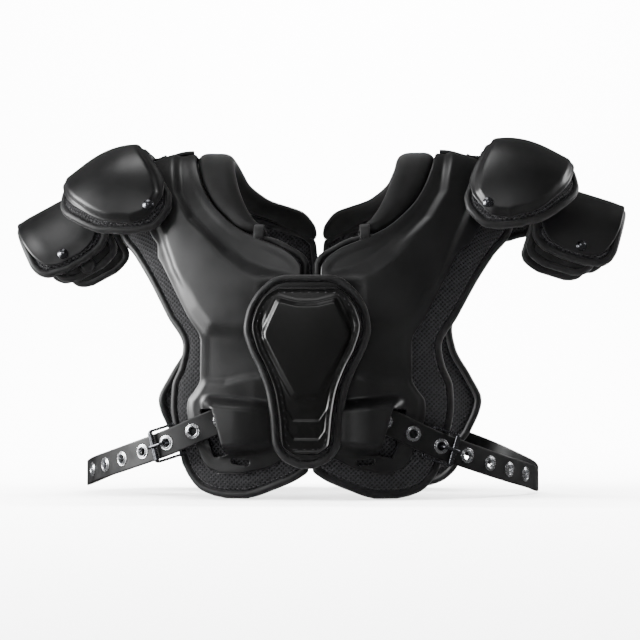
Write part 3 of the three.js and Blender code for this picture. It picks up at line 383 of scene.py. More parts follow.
class Patch:
    """A fine grid over an outline on a saddle, with each point's distance to the edge."""

    def __init__(self, saddle, rows, step, columns, edge, fine=()):
        # rows: (station, inner, outer); edge: distances of the columns next to an edge
        self.saddle = saddle
        rows = np.array(sorted(rows))
        near = np.array(edge, float)
        first, last = rows[0, 0], rows[-1, 0]
        places = [first + near, last - near]
        places.append(np.arange(first + near[-1] + step, last - near[-1], step))
        for low, high, pace in fine:
            places.append(np.arange(low, high, pace))
        stations = np.unique(np.round(np.concatenate(places), 2))
        keep = np.concatenate([[True], np.diff(stations) > 0.2])
        self.stations = stations[keep]
        inner = smooth_table(rows[:, 0], rows[:, 1], self.stations)
        outer = smooth_table(rows[:, 0], rows[:, 2], self.stations)
        width = outer - inner
        squeeze = np.minimum(1, width / (4 * near[-1]))[:, None]
        left = inner[:, None] + near[None] * squeeze
        right = outer[:, None] - near[::-1][None] * squeeze
        t = np.linspace(0, 1, columns + 2)[1:-1]
        middle = left[:, -1:] * (1 - t) + right[:, :1] * t
        self.x = np.concatenate([left, middle, right], 1)
        self.angle = np.repeat(saddle.angle_at(self.stations)[:, None], self.x.shape[1], 1)
        self.station = np.repeat(self.stations[:, None], self.x.shape[1], 1)
        self.base = saddle.point(self.x, self.angle)
        self.normal = saddle.normal(self.x, self.angle)
        self.edge = self._edge_distance()

    def outline(self, spacing=0.4):
        """Points round the outline, closed, as x and angle."""
        x, a = self.x, self.angle
        loop = np.concatenate([
            np.stack([x[:, 0], a[:, 0]], 1), np.stack([x[-1, 1:], a[-1, 1:]], 1),
            np.stack([x[::-1, -1], a[::-1, -1]], 1)[1:],
            np.stack([x[0, ::-1], a[0, ::-1]], 1)[1:]])
        line = self.saddle.point(loop[:, 0], loop[:, 1])
        length = np.concatenate([[0], np.cumsum(np.linalg.norm(np.diff(line, axis=0), axis=1))])
        count = max(8, int(length[-1] / spacing))
        at = np.linspace(0, length[-1], count, endpoint=False)
        return np.stack([np.interp(at, length, loop[:, k]) for k in (0, 1)], 1)

    def _edge_distance(self):
        loop = self.outline()
        line = self.saddle.point(loop[:, 0], loop[:, 1])
        tree = KDTree(len(line))
        for i, p in enumerate(line):
            tree.insert(p, i)
        tree.balance()
        flat = self.base.reshape(-1, 3)
        far = np.array([tree.find(p)[2] for p in flat]).reshape(self.x.shape)
        far[0], far[-1], far[:, 0], far[:, -1] = 0, 0, 0, 0
        return far

    def solid(self, node, top, bottom, place, finishes, slot, which=None, holes=None):
        """The closed solid between two offset fields; holes is true for the cells that are cut."""
        verts = np.concatenate([
            place(self.base + self.normal * offset[..., None]).reshape(-1, 3)
            for offset in (top, bottom)])
        cells = (self.x.shape[0] - 1, self.x.shape[1] - 1)
        faces, (i, j) = closed_faces(np.ones(cells, bool) if holes is None else ~holes)
        kind = (np.zeros(cells, int) if which is None else which)[i, j]
        probe = place(np.array([[0.0, 0, 0], [1, 0, 0], [0, 1, 0], [0, 0, 1]]))
        handed = np.linalg.det(probe[1:] - probe[0])
        tops = self.base[0, 0], self.base[1, 0], self.base[0, 1]
        facing = np.dot(np.cross(tops[1] - tops[0], tops[2] - tops[0]), self.normal[0, 0])
        if facing * handed < 0:
            faces = faces[:, ::-1]
        uv = np.stack([self.x, self.station], -1).reshape(-1, 2)
        used = np.unique(faces)
        renumber = np.full(len(verts), -1)
        renumber[used] = np.arange(len(used))
        return dress(node, verts[used], renumber[faces], finishes, slot,
                     np.concatenate([uv, uv])[used], kind)


def rows_over(saddle, front, top, back):
    rows = [(saddle.station(saddle.angle(at)), i, o) for at, i, o in front]
    rows.append((saddle.station(90), *top))
    rows += [(saddle.station(saddle.angle(at, True)), i, o) for at, i, o in back]
    return rows


def grown(rows, margin, down, low=-1e9, high=1e9):
    """Rows of an outline a margin outside another, with a rounded lower end."""
    wide = [(max(0.02, at - down), max(low, i - margin), min(high, o + margin))
            for at, i, o in rows]
    at, inner, outer = wide[0]
    middle = (inner + outer) / 2
    round_end = [(at - 0.006, middle - 5, middle + 5), (at, inner + 4.5, outer - 4.5),
                 (at + 0.012, inner, outer)]
    return round_end + wide[1:]


def sweep(points, ups, section, closed=False):
    """Rings of a section (across, up) along points, with one up direction or one for each."""
    p = np.asarray(points, float)
    ahead = np.roll(p, -1, 0) if closed else np.vstack([p[1:], 2 * p[-1] - p[-2]])
    behind = np.roll(p, 1, 0) if closed else np.vstack([2 * p[0] - p[1], p[:-1]])
    along = ahead - behind
    along /= np.linalg.norm(along, axis=1, keepdims=True)
    up = np.broadcast_to(np.asarray(ups, float), p.shape)
    up = up - along * np.sum(up * along, 1, keepdims=True)
    up /= np.linalg.norm(up, axis=1, keepdims=True)
    across = np.cross(along, up)
    s = np.asarray(section, float)
    rings = p[:, None] + across[:, None] * s[None, :, :1] + up[:, None] * s[None, :, 1:2]
    n, m = len(p), len(s)
    ids = np.arange(n * m).reshape(n, m)
    nxt = np.roll(ids, -1, 0) if closed else ids[1:]
    cur = ids if closed else ids[:-1]
    a, b = cur, np.roll(cur, -1, 1)
    c, d = np.roll(nxt, -1, 1), nxt
    faces = [list(f) for f in np.stack([a, b, c, d], -1).reshape(-1, 4)]
    if not closed:
        faces += [list(ids[0][::-1]), list(ids[-1])]
    return rings.reshape(-1, 3), faces


def round_section(width, height, sides=12):
    t = np.linspace(0, 2 * math.pi, sides, endpoint=False)
    return np.stack([np.cos(t) * width / 2, np.sin(t) * height / 2], 1)


def flat_section(width, height, corner, steps=4):
    """A rectangle with round corners."""
    out = []
    for k, (sx, sy) in enumerate(((1, 1), (-1, 1), (-1, -1), (1, -1))):
        for t in np.linspace(0, math.pi / 2, steps):
            turn = t + k * math.pi / 2
            out.append((sx * (width / 2 - corner) + corner * math.cos(turn),
                        sy * (height / 2 - corner) + corner * math.sin(turn)))
    return np.array(out)


def lathe(profile, centre, axis, steps=32):
    """A turned piece from (radius, height) points about an axis."""
    axis = Vector(axis).normalized()
    side = axis.orthogonal().normalized()
    other = axis.cross(side)
    verts, faces, m = [], [], len(profile)
    for k in range(steps):
        t = 2 * math.pi * k / steps
        out = side * math.cos(t) + other * math.sin(t)
        verts += [Vector(centre) + out * r + axis * h for r, h in profile]
    for k in range(steps):
        for i in range(m - 1):
            a, b = k * m + i, ((k + 1) % steps) * m + i
            faces.append((a, b, b + 1, a + 1))
    return np.array([tuple(v) for v in verts]), faces


def joined(parts):
    """Several (verts, faces) as one."""
    verts, faces, start = [], [], 0
    for v, f in parts:
        verts.append(np.asarray(v))
        faces += [[i + start for i in face] for face in f]
        start += len(v)
    return np.concatenate(verts), faces


# Materials

def linear(code):
    """An sRGB hex colour as the linear colour that a shader takes."""
    parts = [int(code[i:i + 2], 16) / 255 for i in (1, 3, 5)]
    return [c / 12.92 if c <= 0.04045 else ((c + 0.055) / 1.055) ** 2.4 for c in parts] + [1]


def add_node(tree, kind, output, into=None, stops=(), **settings):
    """Adds a node and gives an output; a setting is a property, an input's value or its link."""
    node = tree.nodes.new("ShaderNode" + kind)
    for key, value in settings.items():
        if hasattr(node, key):
            setattr(node, key, value)
        elif isinstance(value, bpy.types.NodeSocket):
            tree.links.new(value, node.inputs[key.replace("_", " ")])
        else:
            node.inputs[key.replace("_", " ")].default_value = value
    for i, (place, code) in enumerate(stops):
        node.color_ramp.elements[i].position = place
        node.color_ramp.elements[i].color = linear(code)
    if into is not None:
        tree.links.new(node.outputs[output], into)
    return node.outputs[output]


def start_material(name, colour, **values):
    """A principled material, its tree, its inputs and the piece's coordinates."""
    material = bpy.data.materials.new(name)
    material.use_nodes = True
    tree = material.node_tree
    inputs = tree.nodes["Principled BSDF"].inputs
    inputs["Base Color"].default_value = linear(colour)
    for key, value in values.items():
        inputs[key.replace("_", " ")].default_value = value
    return material, tree, inputs, add_node(tree, "TexCoord", "Object")


def moulded_polyethylene(
        name="moulded_polyethylene", colour="#070708", worn="#0b0b0c", shine=0.37, wear=0.09):
    # Vacuum-formed polyethylene sheet: a soft satin sheen with a fine leathery grain and faint rubs
    material, tree, inputs, where = start_material(name, colour, Roughness=shine, IOR=1.5)
    grain = add_node(tree, "TexNoise", "Fac", Vector=where, Scale=1 / (0.9 * MM), Detail=2)
    rubs = add_node(tree, "TexNoise", "Fac", Vector=where, Scale=1 / (38 * MM), Detail=6)
    add_node(tree, "MapRange", "Result", inputs["Roughness"], Value=rubs, From_Min=0.3,
             From_Max=0.7, To_Min=shine - wear / 2, To_Max=shine + wear)
    add_node(tree, "ValToRGB", "Color", inputs["Base Color"], [(0.4, colour), (0.7, worn)],
             Fac=rubs)
    add_node(tree, "Bump", "Normal", inputs["Normal"], Height=grain, Strength=0.5,
             Distance=0.00006)
    return material


def spacer_mesh():
    # Polyester air mesh over foam: small round holes in staggered rows, 3.2 mm apart, drawn
    # coarser than the real knit's 2 mm so that they show
    material, tree, inputs, _ = start_material(
        "spacer_mesh", "#0a0a0b", Roughness=0.7, IOR=1.4, Specular_IOR_Level=0.3,
        Sheen_Weight=0.02, Sheen_Roughness=0.4)
    pitch = 3.2 * MM * 10  # the coordinates are in tenths of a metre
    turned = add_node(
        tree, "Mapping", "Vector", Vector=add_node(tree, "TexCoord", "UV"),
        Rotation=(0, 0, math.radians(45)), Scale=(1 / pitch, 1 / pitch, 1))
    cells = add_node(tree, "TexVoronoi", "Distance", Vector=turned, voronoi_dimensions="2D",
                     Scale=1.0, Randomness=0.12)
    hole = add_node(tree, "MapRange", "Result", Value=cells, From_Min=0.18, From_Max=0.42)
    add_node(tree, "ValToRGB", "Color", inputs["Base Color"],
             [(0.1, "#010101"), (0.9, "#161618")], Fac=hole)
    threads = add_node(tree, "TexNoise", "Fac", Vector=turned, Scale=6, Detail=2)
    first = add_node(tree, "Bump", "Normal", Height=threads, Strength=0.4, Distance=0.0001)
    add_node(tree, "Bump", "Normal", inputs["Normal"], Height=hole, Strength=0.8,
             Distance=0.0006, Normal=first)
    return material


def knit_tape(name="knit_tape", colour="#070708", rough=0.5):
    # Folded knit binding tape: fine ribs 0.8 mm apart and a soft sheen along the fold
    material, tree, inputs, where = start_material(
        name, colour, Roughness=rough, IOR=1.42, Sheen_Weight=0.05)
    ribs = add_node(tree, "TexNoise", "Fac", Vector=where, Scale=1 / (0.8 * MM), Detail=2)
    folds = add_node(tree, "TexNoise", "Fac", Vector=where, Scale=1 / (9 * MM), Detail=3)
    add_node(tree, "ValToRGB", "Color", inputs["Base Color"],
             [(0.4, colour), (0.75, "#0d0d0e")], Fac=folds)
    first = add_node(tree, "Bump", "Normal", Height=ribs, Strength=0.6, Distance=0.00012)
    add_node(tree, "Bump", "Normal", inputs["Normal"], Height=folds, Strength=0.5,
             Distance=0.0007, Normal=first)
    return material


def brushed_jersey():
    # Jersey laminated to neoprene foam: dull, with a faint nap and a slight sheen at grazing angles
    material, tree, inputs, where = start_material(
        "brushed_jersey", "#060607", Roughness=0.75, IOR=1.4, Specular_IOR_Level=0.3,
        Sheen_Weight=0.03, Sheen_Roughness=0.5)
    nap = add_node(tree, "TexNoise", "Fac", Vector=where, Scale=1 / (0.7 * MM), Detail=3)
    soft = add_node(tree, "TexNoise", "Fac", Vector=where, Scale=1 / (14 * MM), Detail=3)
    add_node(tree, "ValToRGB", "Color", inputs["Base Color"],
             [(0.35, "#050505"), (0.7, "#0a0a0b")], Fac=soft)
    add_node(tree, "Bump", "Normal", inputs["Normal"], Height=nap, Strength=0.6,
             Distance=0.00015)
    return material


def coated_webbing():
    # Polyester webbing with a vinyl coat: a dull gloss, faint weave print and scuffed patches
    material, tree, inputs, where = start_material(
        "coated_webbing", "#070708", Roughness=0.42, IOR=1.5, Specular_IOR_Level=0.35)
    weave = add_node(tree, "TexNoise", "Fac", Vector=where, Scale=1 / (1.1 * MM), Detail=2)
    scuff = add_node(tree, "TexNoise", "Fac", Vector=where, Scale=1 / (16 * MM), Detail=5)
    add_node(tree, "MapRange", "Result", inputs["Roughness"], Value=scuff, From_Min=0.35,
             From_Max=0.65, To_Min=0.34, To_Max=0.58)
    add_node(tree, "Bump", "Normal", inputs["Normal"], Height=weave, Strength=0.5,
             Distance=0.00008)
    return material


def nylon_webbing():
    # Woven nylon tape: diagonal ribs 1.6 mm apart
    material, tree, inputs, where = start_material(
        "nylon_webbing", "#0c0c0d", Roughness=0.7, IOR=1.45, Sheen_Weight=0.08)
    ribs = add_node(tree, "TexWave", "Fac", Vector=where, bands_direction="DIAGONAL",
                    Scale=1 / (1.6 * MM) / 20, Distortion=0.4, Detail=1)
    add_node(tree, "ValToRGB", "Color", inputs["Base Color"],
             [(0.2, "#070707"), (0.8, "#121213")], Fac=ribs)
    add_node(tree, "Bump", "Normal", inputs["Normal"], Height=ribs, Strength=0.6,
             Distance=0.0002)
    return material


def plated_steel(name, colour, rough):
    # Nickel-plated stamped steel: a clean plating with light handling scratches
    material, tree, inputs, where = start_material(name, colour, Roughness=rough, Metallic=1.0)
    marks = add_node(tree, "TexNoise", "Fac", Vector=where, Scale=1 / (2 * MM), Detail=6)
    add_node(tree, "MapRange", "Result", inputs["Roughness"], Value=marks, From_Min=0.35,
             From_Max=0.65, To_Min=rough - 0.04, To_Max=rough + 0.08)
    add_node(tree, "Bump", "Normal", inputs["Normal"], Height=marks, Strength=0.3,
             Distance=0.00001)
    return material


def matt_paper(name, colour):
    # Seamless studio paper: plain, with a faint mottle
    material, tree, inputs, where = start_material(name, colour, Roughness=0.9, IOR=1.4)
    mottle = add_node(tree, "TexNoise", "Fac", Vector=where, Scale=3, Detail=2)
    add_node(tree, "ValToRGB", "Color", inputs["Base Color"], [(0.3, colour), (0.7, "#fbfbfb")],
             Fac=mottle)
    return material


POLYETHYLENE = moulded_polyethylene()
POLISHED = moulded_polyethylene("moulded_gloss", "#030303", "#040404", 0.3, 0.02)
MESH = spacer_mesh()
TAPE = knit_tape()
JERSEY = brushed_jersey()
BELTING = coated_webbing()
WEBBING = nylon_webbing()
NICKEL = plated_steel("nickel_plate", "#d2d3d6", 0.24)
GUNMETAL = plated_steel("black_nickel_plate", "#67686c", 0.22)
THREAD = knit_tape("sewing_thread", "#1c1c1e", 0.45)


# Pads with a rolled binding

ROLL = 3.7  # half width of the rolled binding
EDGE = [0, 0.25, 0.7, 1.3, 2.1, 3.0, 3.9, 4.8, 5.5, 6.1, 6.6, 7.1, 7.8, 8.8, 10.2, 12, 14.5]
SHELL_EDGE = [0, 0.2, 0.6, 1.2, 2.0, 3.0, 4.2]


def bound_profile(edge, half, roll_half, seam=0.62, soft=9.0):
    """Half thickness from the edge in: the roll, the seam beside it and the foam's crown."""
    roll = roll_half * rounded(edge, ROLL)
    fall = np.sqrt(1 - np.clip(edge / ROLL - 1, 0, 1) ** 2)
    back = roll_half * (seam + (1 - seam) * fall)
    crown = np.sqrt(smoothstep(edge, 2 * ROLL, 2 * ROLL + soft))
    foam = roll_half * seam + (half - roll_half * seam) * crown
    crease = 0.28 * roll_half * np.exp(-((edge - 2 * ROLL) / 1.1) ** 2)
    return np.where(edge < ROLL, roll, np.where(edge < 2 * ROLL, back, foam)) - crease


def taped_cells(patch):
    return (cell_mean(patch.edge) < 2 * ROLL - 0.2).astype(int)


def bound_pad(node, patch, near, far, place, roll_half, fabric=MESH, stitched=True):
    """A pad with a rolled binding and a line of stitches beside it."""
    half, middle = (far - near) / 2, (far + near) / 2
    along = patch.station + patch.x
    pucker = 0.35 * np.sin(along * 0.9) * np.sin(along * 0.37 + 1)
    pucker *= smoothstep(patch.edge, 4, 7) * smoothstep(-patch.edge, -14, -8)
    thick = np.maximum(0, bound_profile(patch.edge, half, roll_half) + pucker)
    piece = patch.solid(node, middle + thick, middle - thick, place, [fabric, TAPE],
                        "mesh_cloth", taped_cells(patch))
    if stitched:
        seam = 2 * ROLL + 2.2
        lift = middle + float(bound_profile(np.array(seam), half, roll_half))
        sewn(node + "_stitches", patch, seam, lift + 0.1, place, 5.0, 2.8)


def body_pad(side):
    fine = [TORSO.finely(0, 0.1, 1.2), TORSO.finely(0.65, 0.82, 1.1),
            TORSO.finely(0.88, 0.75, 1.1, True), TORSO.finely(0.1, 0, 1.4, True)]
    rows = rows_over(TORSO, PAD_FRONT, PAD_TOP, PAD_BACK[::-1])
    bound_pad("body_pad_" + side, Patch(TORSO, rows, 3.2, 16, EDGE, fine), -PAD_THICK + 0.3,
              -0.2, on_body(side), 4.4)


# The raised panels of the chest shell, as corners (x, z) in the front view
CHEST_PANEL = [
    (9, 205), (40, 212), (60, 220), (80, 235), (115, 270), (130, 296), (136, 330), (140, 400),
    (172, 400), (166, 320), (156, 285), (141, 250), (130, 221), (109, 181), (94, 162), (66, 160),
    (9, 166),
]
LOWER_PANEL = [
    (5, 118), (50, 116), (74, 110), (98, 112), (110, 96), (104, 60), (84, 42), (40, 44), (5, 60)]


# The housing, the window beside it and the slot below it: widths, heights and places
HOUSING_FOOT = 43
HOUSING_CROWN = 96
HOUSING_LEAN = 0.27
WINDOW = (16, 42)
WINDOW_PAST = 8.5  # from the mouth to the window's middle
WINDOW_ENDS = (42, 85)
SLOT = (18, 5.6)
SLOT_IN = 21  # from the mouth to the slot's middle
SLOT_HEIGHT = 35
SLOT_SLOPE = 0.12


def mouth(z, side):
    """The housing's edge towards the arm, which leans in as it goes down."""
    return HOUSING_MOUTH + SIDES[side]["housing"] + HOUSING_LEAN * (np.minimum(z, 92) - 84)


def housing_relief(x, z, side):
    """Rise of the moulded bump that the buckle strap comes out of."""
    edge = mouth(z, side)
    wall = smoothstep(edge + 16 - x, 0, 17)
    inner = smoothstep(x - SIDES[side]["housing"], 14, 62)
    foot = HOUSING_FOOT + 0.1 * (edge - x)
    crown = HOUSING_CROWN + 0.1 * (x - edge)
    low = smoothstep(z - foot, -5, 9)
    high = smoothstep(crown + 4 - z, 0, 15)
    return (HOUSING_RISE - SHELL_THICK) * wall * (0.35 + 0.65 * inner) * low * high * smoothstep(
        x - SIDES[side]["housing"], 4, 40)


def arch_shell(side):
    t = TORSO
    shell, housing = SIDES[side]["shell"], SIDES[side]["housing"]
    rows = rows_over(t, SHELL_FRONT, SHELL_TOP, SHELL_BACK[::-1])
    bend = t.station(40)
    rows = [(s, i, o + (shell if s < bend else 0)) for s, i, o in rows]
    fine = [t.finely(0.07, 0.3, 1.2), t.finely(0.64, 0.8, 1.4), t.finely(0.86, 0.75, 1.6, True),
            t.finely(0.16, 0.08, 1.6, True)]
    patch = Patch(t, rows, 2.4, 70, SHELL_EDGE, fine)
    holes = shell_holes(patch, side)
    x, z = patch.x, patch.base[..., 2]
    front = patch.angle <= 90
    into = inside_distance(x - shell * 0.6, z, CHEST_PANEL)
    # The border is crisp on the arm side and runs out softly towards the neck and the sternum
    crisp = smoothstep(x, 70, 110) * smoothstep(z, 190, 215)
    panel = crisp * smoothstep(into, -5, 4) + (1 - crisp) * smoothstep(into, -10, 8)
    lower = smoothstep(inside_distance(x - housing, z, LOWER_PANEL), -4, 3)
    relief = np.where(front, 4.6 * panel + 2.4 * lower, 3.4 * panel)
    rim = 0.5 * smoothstep(-patch.edge, -11, -4)
    bulge = relief * smoothstep(patch.edge, 1, 9) + rim * smoothstep(patch.edge, -1, 1.5)
    # No relief under the sternum pad and its joint
    covered = smoothstep(-(np.abs(x) - 40), -14, 6) * smoothstep(-(z - 205), -10, 8)
    on_chest = np.maximum(bulge * (1 - covered), 0)
    on_chest = on_chest + housing_relief(x, z, side) * smoothstep(patch.edge, 1, 6)
    middle = SHELL_NEAR + SHELL_THICK / 2 + np.where(front, on_chest, bulge)
    thick = SHELL_THICK / 2 * rounded(patch.edge, 1.5)
    patch.solid("arch_shell_" + side, middle + thick, middle - thick, on_body(side),
                [POLYETHYLENE], "moulded_shell", holes=holes)


def rounded_box(u, v, size, corner):
    """Distance to a rounded rectangle about the origin, negative inside."""
    qx = np.abs(u) - size[0] / 2 + corner
    qz = np.abs(v) - size[1] / 2 + corner
    outside = np.hypot(np.maximum(qx, 0), np.maximum(qz, 0))
    return outside + np.minimum(np.maximum(qx, qz), 0) - corner


def shell_holes(patch, side):
    """Cells of the belt window beside the housing and of the slot below it."""
    x, z = patch.x, patch.base[..., 2]
    past = x - mouth(z, side)
    low, high = WINDOW_ENDS[0] - 0.2 * past, WINDOW_ENDS[1]
    window = rounded_box(
        past - WINDOW_PAST, (z - (low + high) / 2) * WINDOW[1] / (high - low), WINDOW, 2)
    along = x - (HOUSING_MOUTH - SLOT_IN + SIDES[side]["housing"])
    slot = rounded_box(along, z - SLOT_HEIGHT - SLOT_SLOPE * along, SLOT, 2.6)
    hole = np.where(patch.angle <= 90, np.minimum(window, slot), 9)
    near = (np.abs(hole) < 0.7) & (patch.edge > 1.5)
    slope = np.gradient(hole, axis=1) / np.maximum(np.gradient(x, axis=1), 1e-3)
    patch.x = np.where(near & (np.abs(slope) > 0.5), x - hole * np.sign(slope), x)
    patch.base = patch.saddle.point(patch.x, patch.angle)
    patch.normal = patch.saddle.normal(patch.x, patch.angle)
    return cell_mean(hole) < 0


def collar(side):
    t = TORSO
    edge = [0, 0.3, 0.9, 1.8, 3, 4.4, 6, 8, 10.5]
    patch = Patch(t, rows_over(t, COLLAR_FRONT, COLLAR_TOP, COLLAR_BACK[::-1]), 2.6, 10, edge,
                  [t.finely(0.757, 0.83, 0.9), t.finely(0.9, 0.78, 0.9, True)])
    dome = np.clip(1 - (1 - np.minimum(patch.edge / 13, 1)) ** 2.2, 0, 1) ** 0.5
    fold = 0.5 * np.sin(patch.station * 0.07 + patch.x * 0.05) * smoothstep(patch.edge, 1, 6)
    thick = (PAD_THICK + COLLAR_RISE) / 2 * dome
    middle = (COLLAR_RISE - PAD_THICK) / 2
    piece = patch.solid("collar_" + side, middle + thick + fold, middle - thick, on_body(side),
                        [JERSEY], "smooth_lining")
    collar_loop(side)


def collar_loop(side):
    """The flat tab that wraps the collar's front end and the binding beside it."""
    place_x, count = 51.0, 26
    ends = [TORSO.station(TORSO.angle(share)) for share in (0.728, 0.775)]
    stations = np.linspace(*ends, count)
    bow = 4.8 * np.clip(1 - np.abs(np.linspace(-1, 1, count)) ** 2.2, 0, 1) ** 0.5 + 0.5
    angles = TORSO.angle_at(np.concatenate([stations, stations[::-1]]))
    lift = np.concatenate([bow, np.full(count, -PAD_THICK - 0.4)])
    points = TORSO.lifted(np.full(2 * count, place_x), angles, lift) * flip(side)
    verts, faces = sweep(points, flip(side) * [1, 0, 0], flat_section(1.4, 9.5, 0.6), closed=True)
    make_piece("collar_loop_%s_visual" % side, verts, faces, [TAPE], "mesh_cloth")


# Caps and flaps

# The cap's raised middle, in the cap's own frame (x, z)
CAP_PANEL = [
    (30, 60), (20.6, -4), (11, -20), (4.5, -33), (0, -50), (12, -95), (52, -95), (70, -55),
    (78, -48), (88, -33), (93, -18), (100, 60),
]


def cap_rows(margin=0.0, down=0.0, high=1e9):
    rows = grown(CAP_ROWS, margin, down, high=high)
    top = (CAP_TOP[0] - margin, min(high, CAP_TOP[1] + margin * 0.4))
    return rows_over(CAP, rows, top, rows[::-1])


def lobes(saddle, share):
    return [saddle.finely(0, share, 1.1), saddle.finely(share, 0, 1.1, True)]


def only_between(fine, rows):
    low, high = rows[0][0], rows[-1][0]
    return [(max(low, a), min(high, b), pace) for a, b, pace in fine]


def cap(side):
    place = on_pivot(side, CAP_PIVOT, "roll")
    margin = PAD_MARGIN - 1.5  # the binding pulls the edge in
    reach = CAP_TOP[1] + margin * 0.4
    rows = cap_rows(margin, margin / (CAP_CREST - CAP_BASE), reach)
    patch = Patch(CAP, rows, 2.8, 12, EDGE, only_between(lobes(CAP, 0.4), rows))
    bound_pad("cap_pad_" + side, patch, -CAP_PAD_THICK + 0.2, -0.1, place, 4.0)
    rows = cap_rows()
    patch = Patch(CAP, rows, 1.8, 44, SHELL_EDGE, only_between(lobes(CAP, 0.4), rows))
    front_z = patch.base[..., 2]
    into = inside_distance(patch.x, front_z, CAP_PANEL)
    # A crisp crease round the panel, with a hollow flange outside it
    panel = 0.8 * np.clip((into + 5.5) / 5.5, 0, 1) + 0.2 * smoothstep(into, -4.5, 2.5)
    outer_fall = 1 - 0.8 * smoothstep(patch.x, 30, 85) * smoothstep(front_z, -45, -10)
    bulge = 4.8 * panel * smoothstep(patch.edge, 0.5, 8) * outer_fall - 1.1
    middle = CAP_LAYER_GAP + CAP_SHELL_THICK / 2 + np.maximum(bulge, -0.9)
    thick = 1.3 * rounded(patch.edge, 1.4)
    patch.solid("cap_shell_" + side, middle + thick, middle - thick, place, [POLYETHYLENE],
                "moulded_shell")
    studs("cap_stud_%s_" + side, CAP, 6, 0.4, CAP_LAYER_GAP + CAP_SHELL_THICK + 4.0, place)


def flap(side):
    place = on_pivot(side, FLAP_PIVOT, "droop")
    reach = FLAP_LENGTH + FLAP_MARGIN * 0.4
    wide = grown(FLAP_ROWS, FLAP_MARGIN, FLAP_MARGIN / FLAP_HEIGHT, FLAP_CROWN_INNER, reach)
    rows = rows_over(FLAP, wide, (FLAP_CROWN_INNER, reach), wide[::-1])
    patch = Patch(FLAP, rows, 2.6, 12, EDGE, only_between(lobes(FLAP, 0.5), rows))
    bound_pad("flap_pad_" + side, patch, -FLAP_PAD_THICK + 0.2, -0.1, place, 4.2)
    rows = rows_over(FLAP, FLAP_ROWS, (FLAP_CROWN_INNER, FLAP_LENGTH), FLAP_ROWS[::-1])
    patch = Patch(FLAP, rows, 2.0, 26, SHELL_EDGE, only_between(lobes(FLAP, 0.55), rows))
    thick = 1.4 * rounded(patch.edge, 1.5)
    middle = LAYER_GAP + 1.5 + 0.7 * smoothstep(patch.edge, 2, 16) - 0.3
    patch.solid("flap_shell_" + side, middle + thick, middle - thick, place, [POLYETHYLENE],
                "moulded_shell")
    rows = rows_over(FLAP, UNDER_ROWS, UNDER_TOP, UNDER_ROWS[::-1])
    patch = Patch(FLAP, rows, 3.0, 12, EDGE, only_between(lobes(FLAP, 0.35), rows))
    far = -FLAP_PAD_THICK - LAYER_GAP
    bound_pad("under_pad_" + side, patch, far - UNDER_PAD_THICK, far - 0.1, place, 3.9,
              JERSEY, stitched=False)
    if side == "right":
        snap(place, far)
    studs("flap_stud_%s_" + side, FLAP, 61, 0.43, LAYER_GAP + 3.4, place)


def turned_on(saddle, x, angle, low, profile, place):
    """A turned piece that stands on a saddle."""
    foot = place(saddle.lifted(x, angle, low))
    return lathe(profile, foot, place(saddle.lifted(x, angle, low + 1)) - foot)


def snap(place, far):
    """The round snap washer on the face of the under pad."""
    x, z = 46.0, -73.0
    profile = [(0, 0), (7.8, 0), (8.2, 0.4), (8.0, 1.0), (7.3, 1.3), (6.2, 0.9), (5.2, 0.9),
               (4.4, 1.5), (3.0, 1.7), (0, 1.7)]
    verts, faces = turned_on(FLAP, x, FLAP.angle_for(x, z), far - 0.4, profile, place)
    make_piece("under_pad_snap_visual", verts, faces, [POLYETHYLENE], "moulded_shell")


def studs(name, saddle, x, share, above, place):
    """The domed rivet heads on a shell, in front and behind."""
    profile = [(0, 0), (5.1, 0), (5.3, 0.5), (5.15, 1.0), (4.5, 1.5), (4.2, 1.55), (3.6, 2.3),
               (2.4, 3.0), (1.2, 3.35), (0, 3.45)]
    for end in ("front", "back"):
        angle = saddle.angle(share, end == "back")
        verts, faces = turned_on(saddle, x, angle, above - 0.8, profile, place)
        dress(name % end, verts, faces, [GUNMETAL], "gunmetal")


# Sternum plate

def sternum_rows(rows):
    found = []
    for at, half in rows:
        z = STERNUM_LOW + at * STERNUM_HEIGHT
        station = TORSO.station(TORSO.angle_for(0.0, z))
        found.append((float(station), STERNUM_OFFSET - half * STERNUM_HALF,
                      STERNUM_OFFSET + half * STERNUM_HALF))
    return found


def mirrored_corners(half):
    right = [(STERNUM_OFFSET + w, z) for w, z in half]
    left = [(STERNUM_OFFSET - w, z) for w, z in reversed(half)]
    return right + left


PLATE = mirrored_corners([
    (0, 179.5), (10, 180), (20, 182.5), (25, 184), (37.5, 156), (37, 150), (10.5, 99.5), (8, 98)])
STEP_ONE = mirrored_corners([(0, 300), (80, 300), (30, 104), (17.5, 84), (11.5, 74.5)])
STEP_TWO = mirrored_corners([(0, 300), (80, 300), (27, 84), (17.2, 66), (11, 57)])


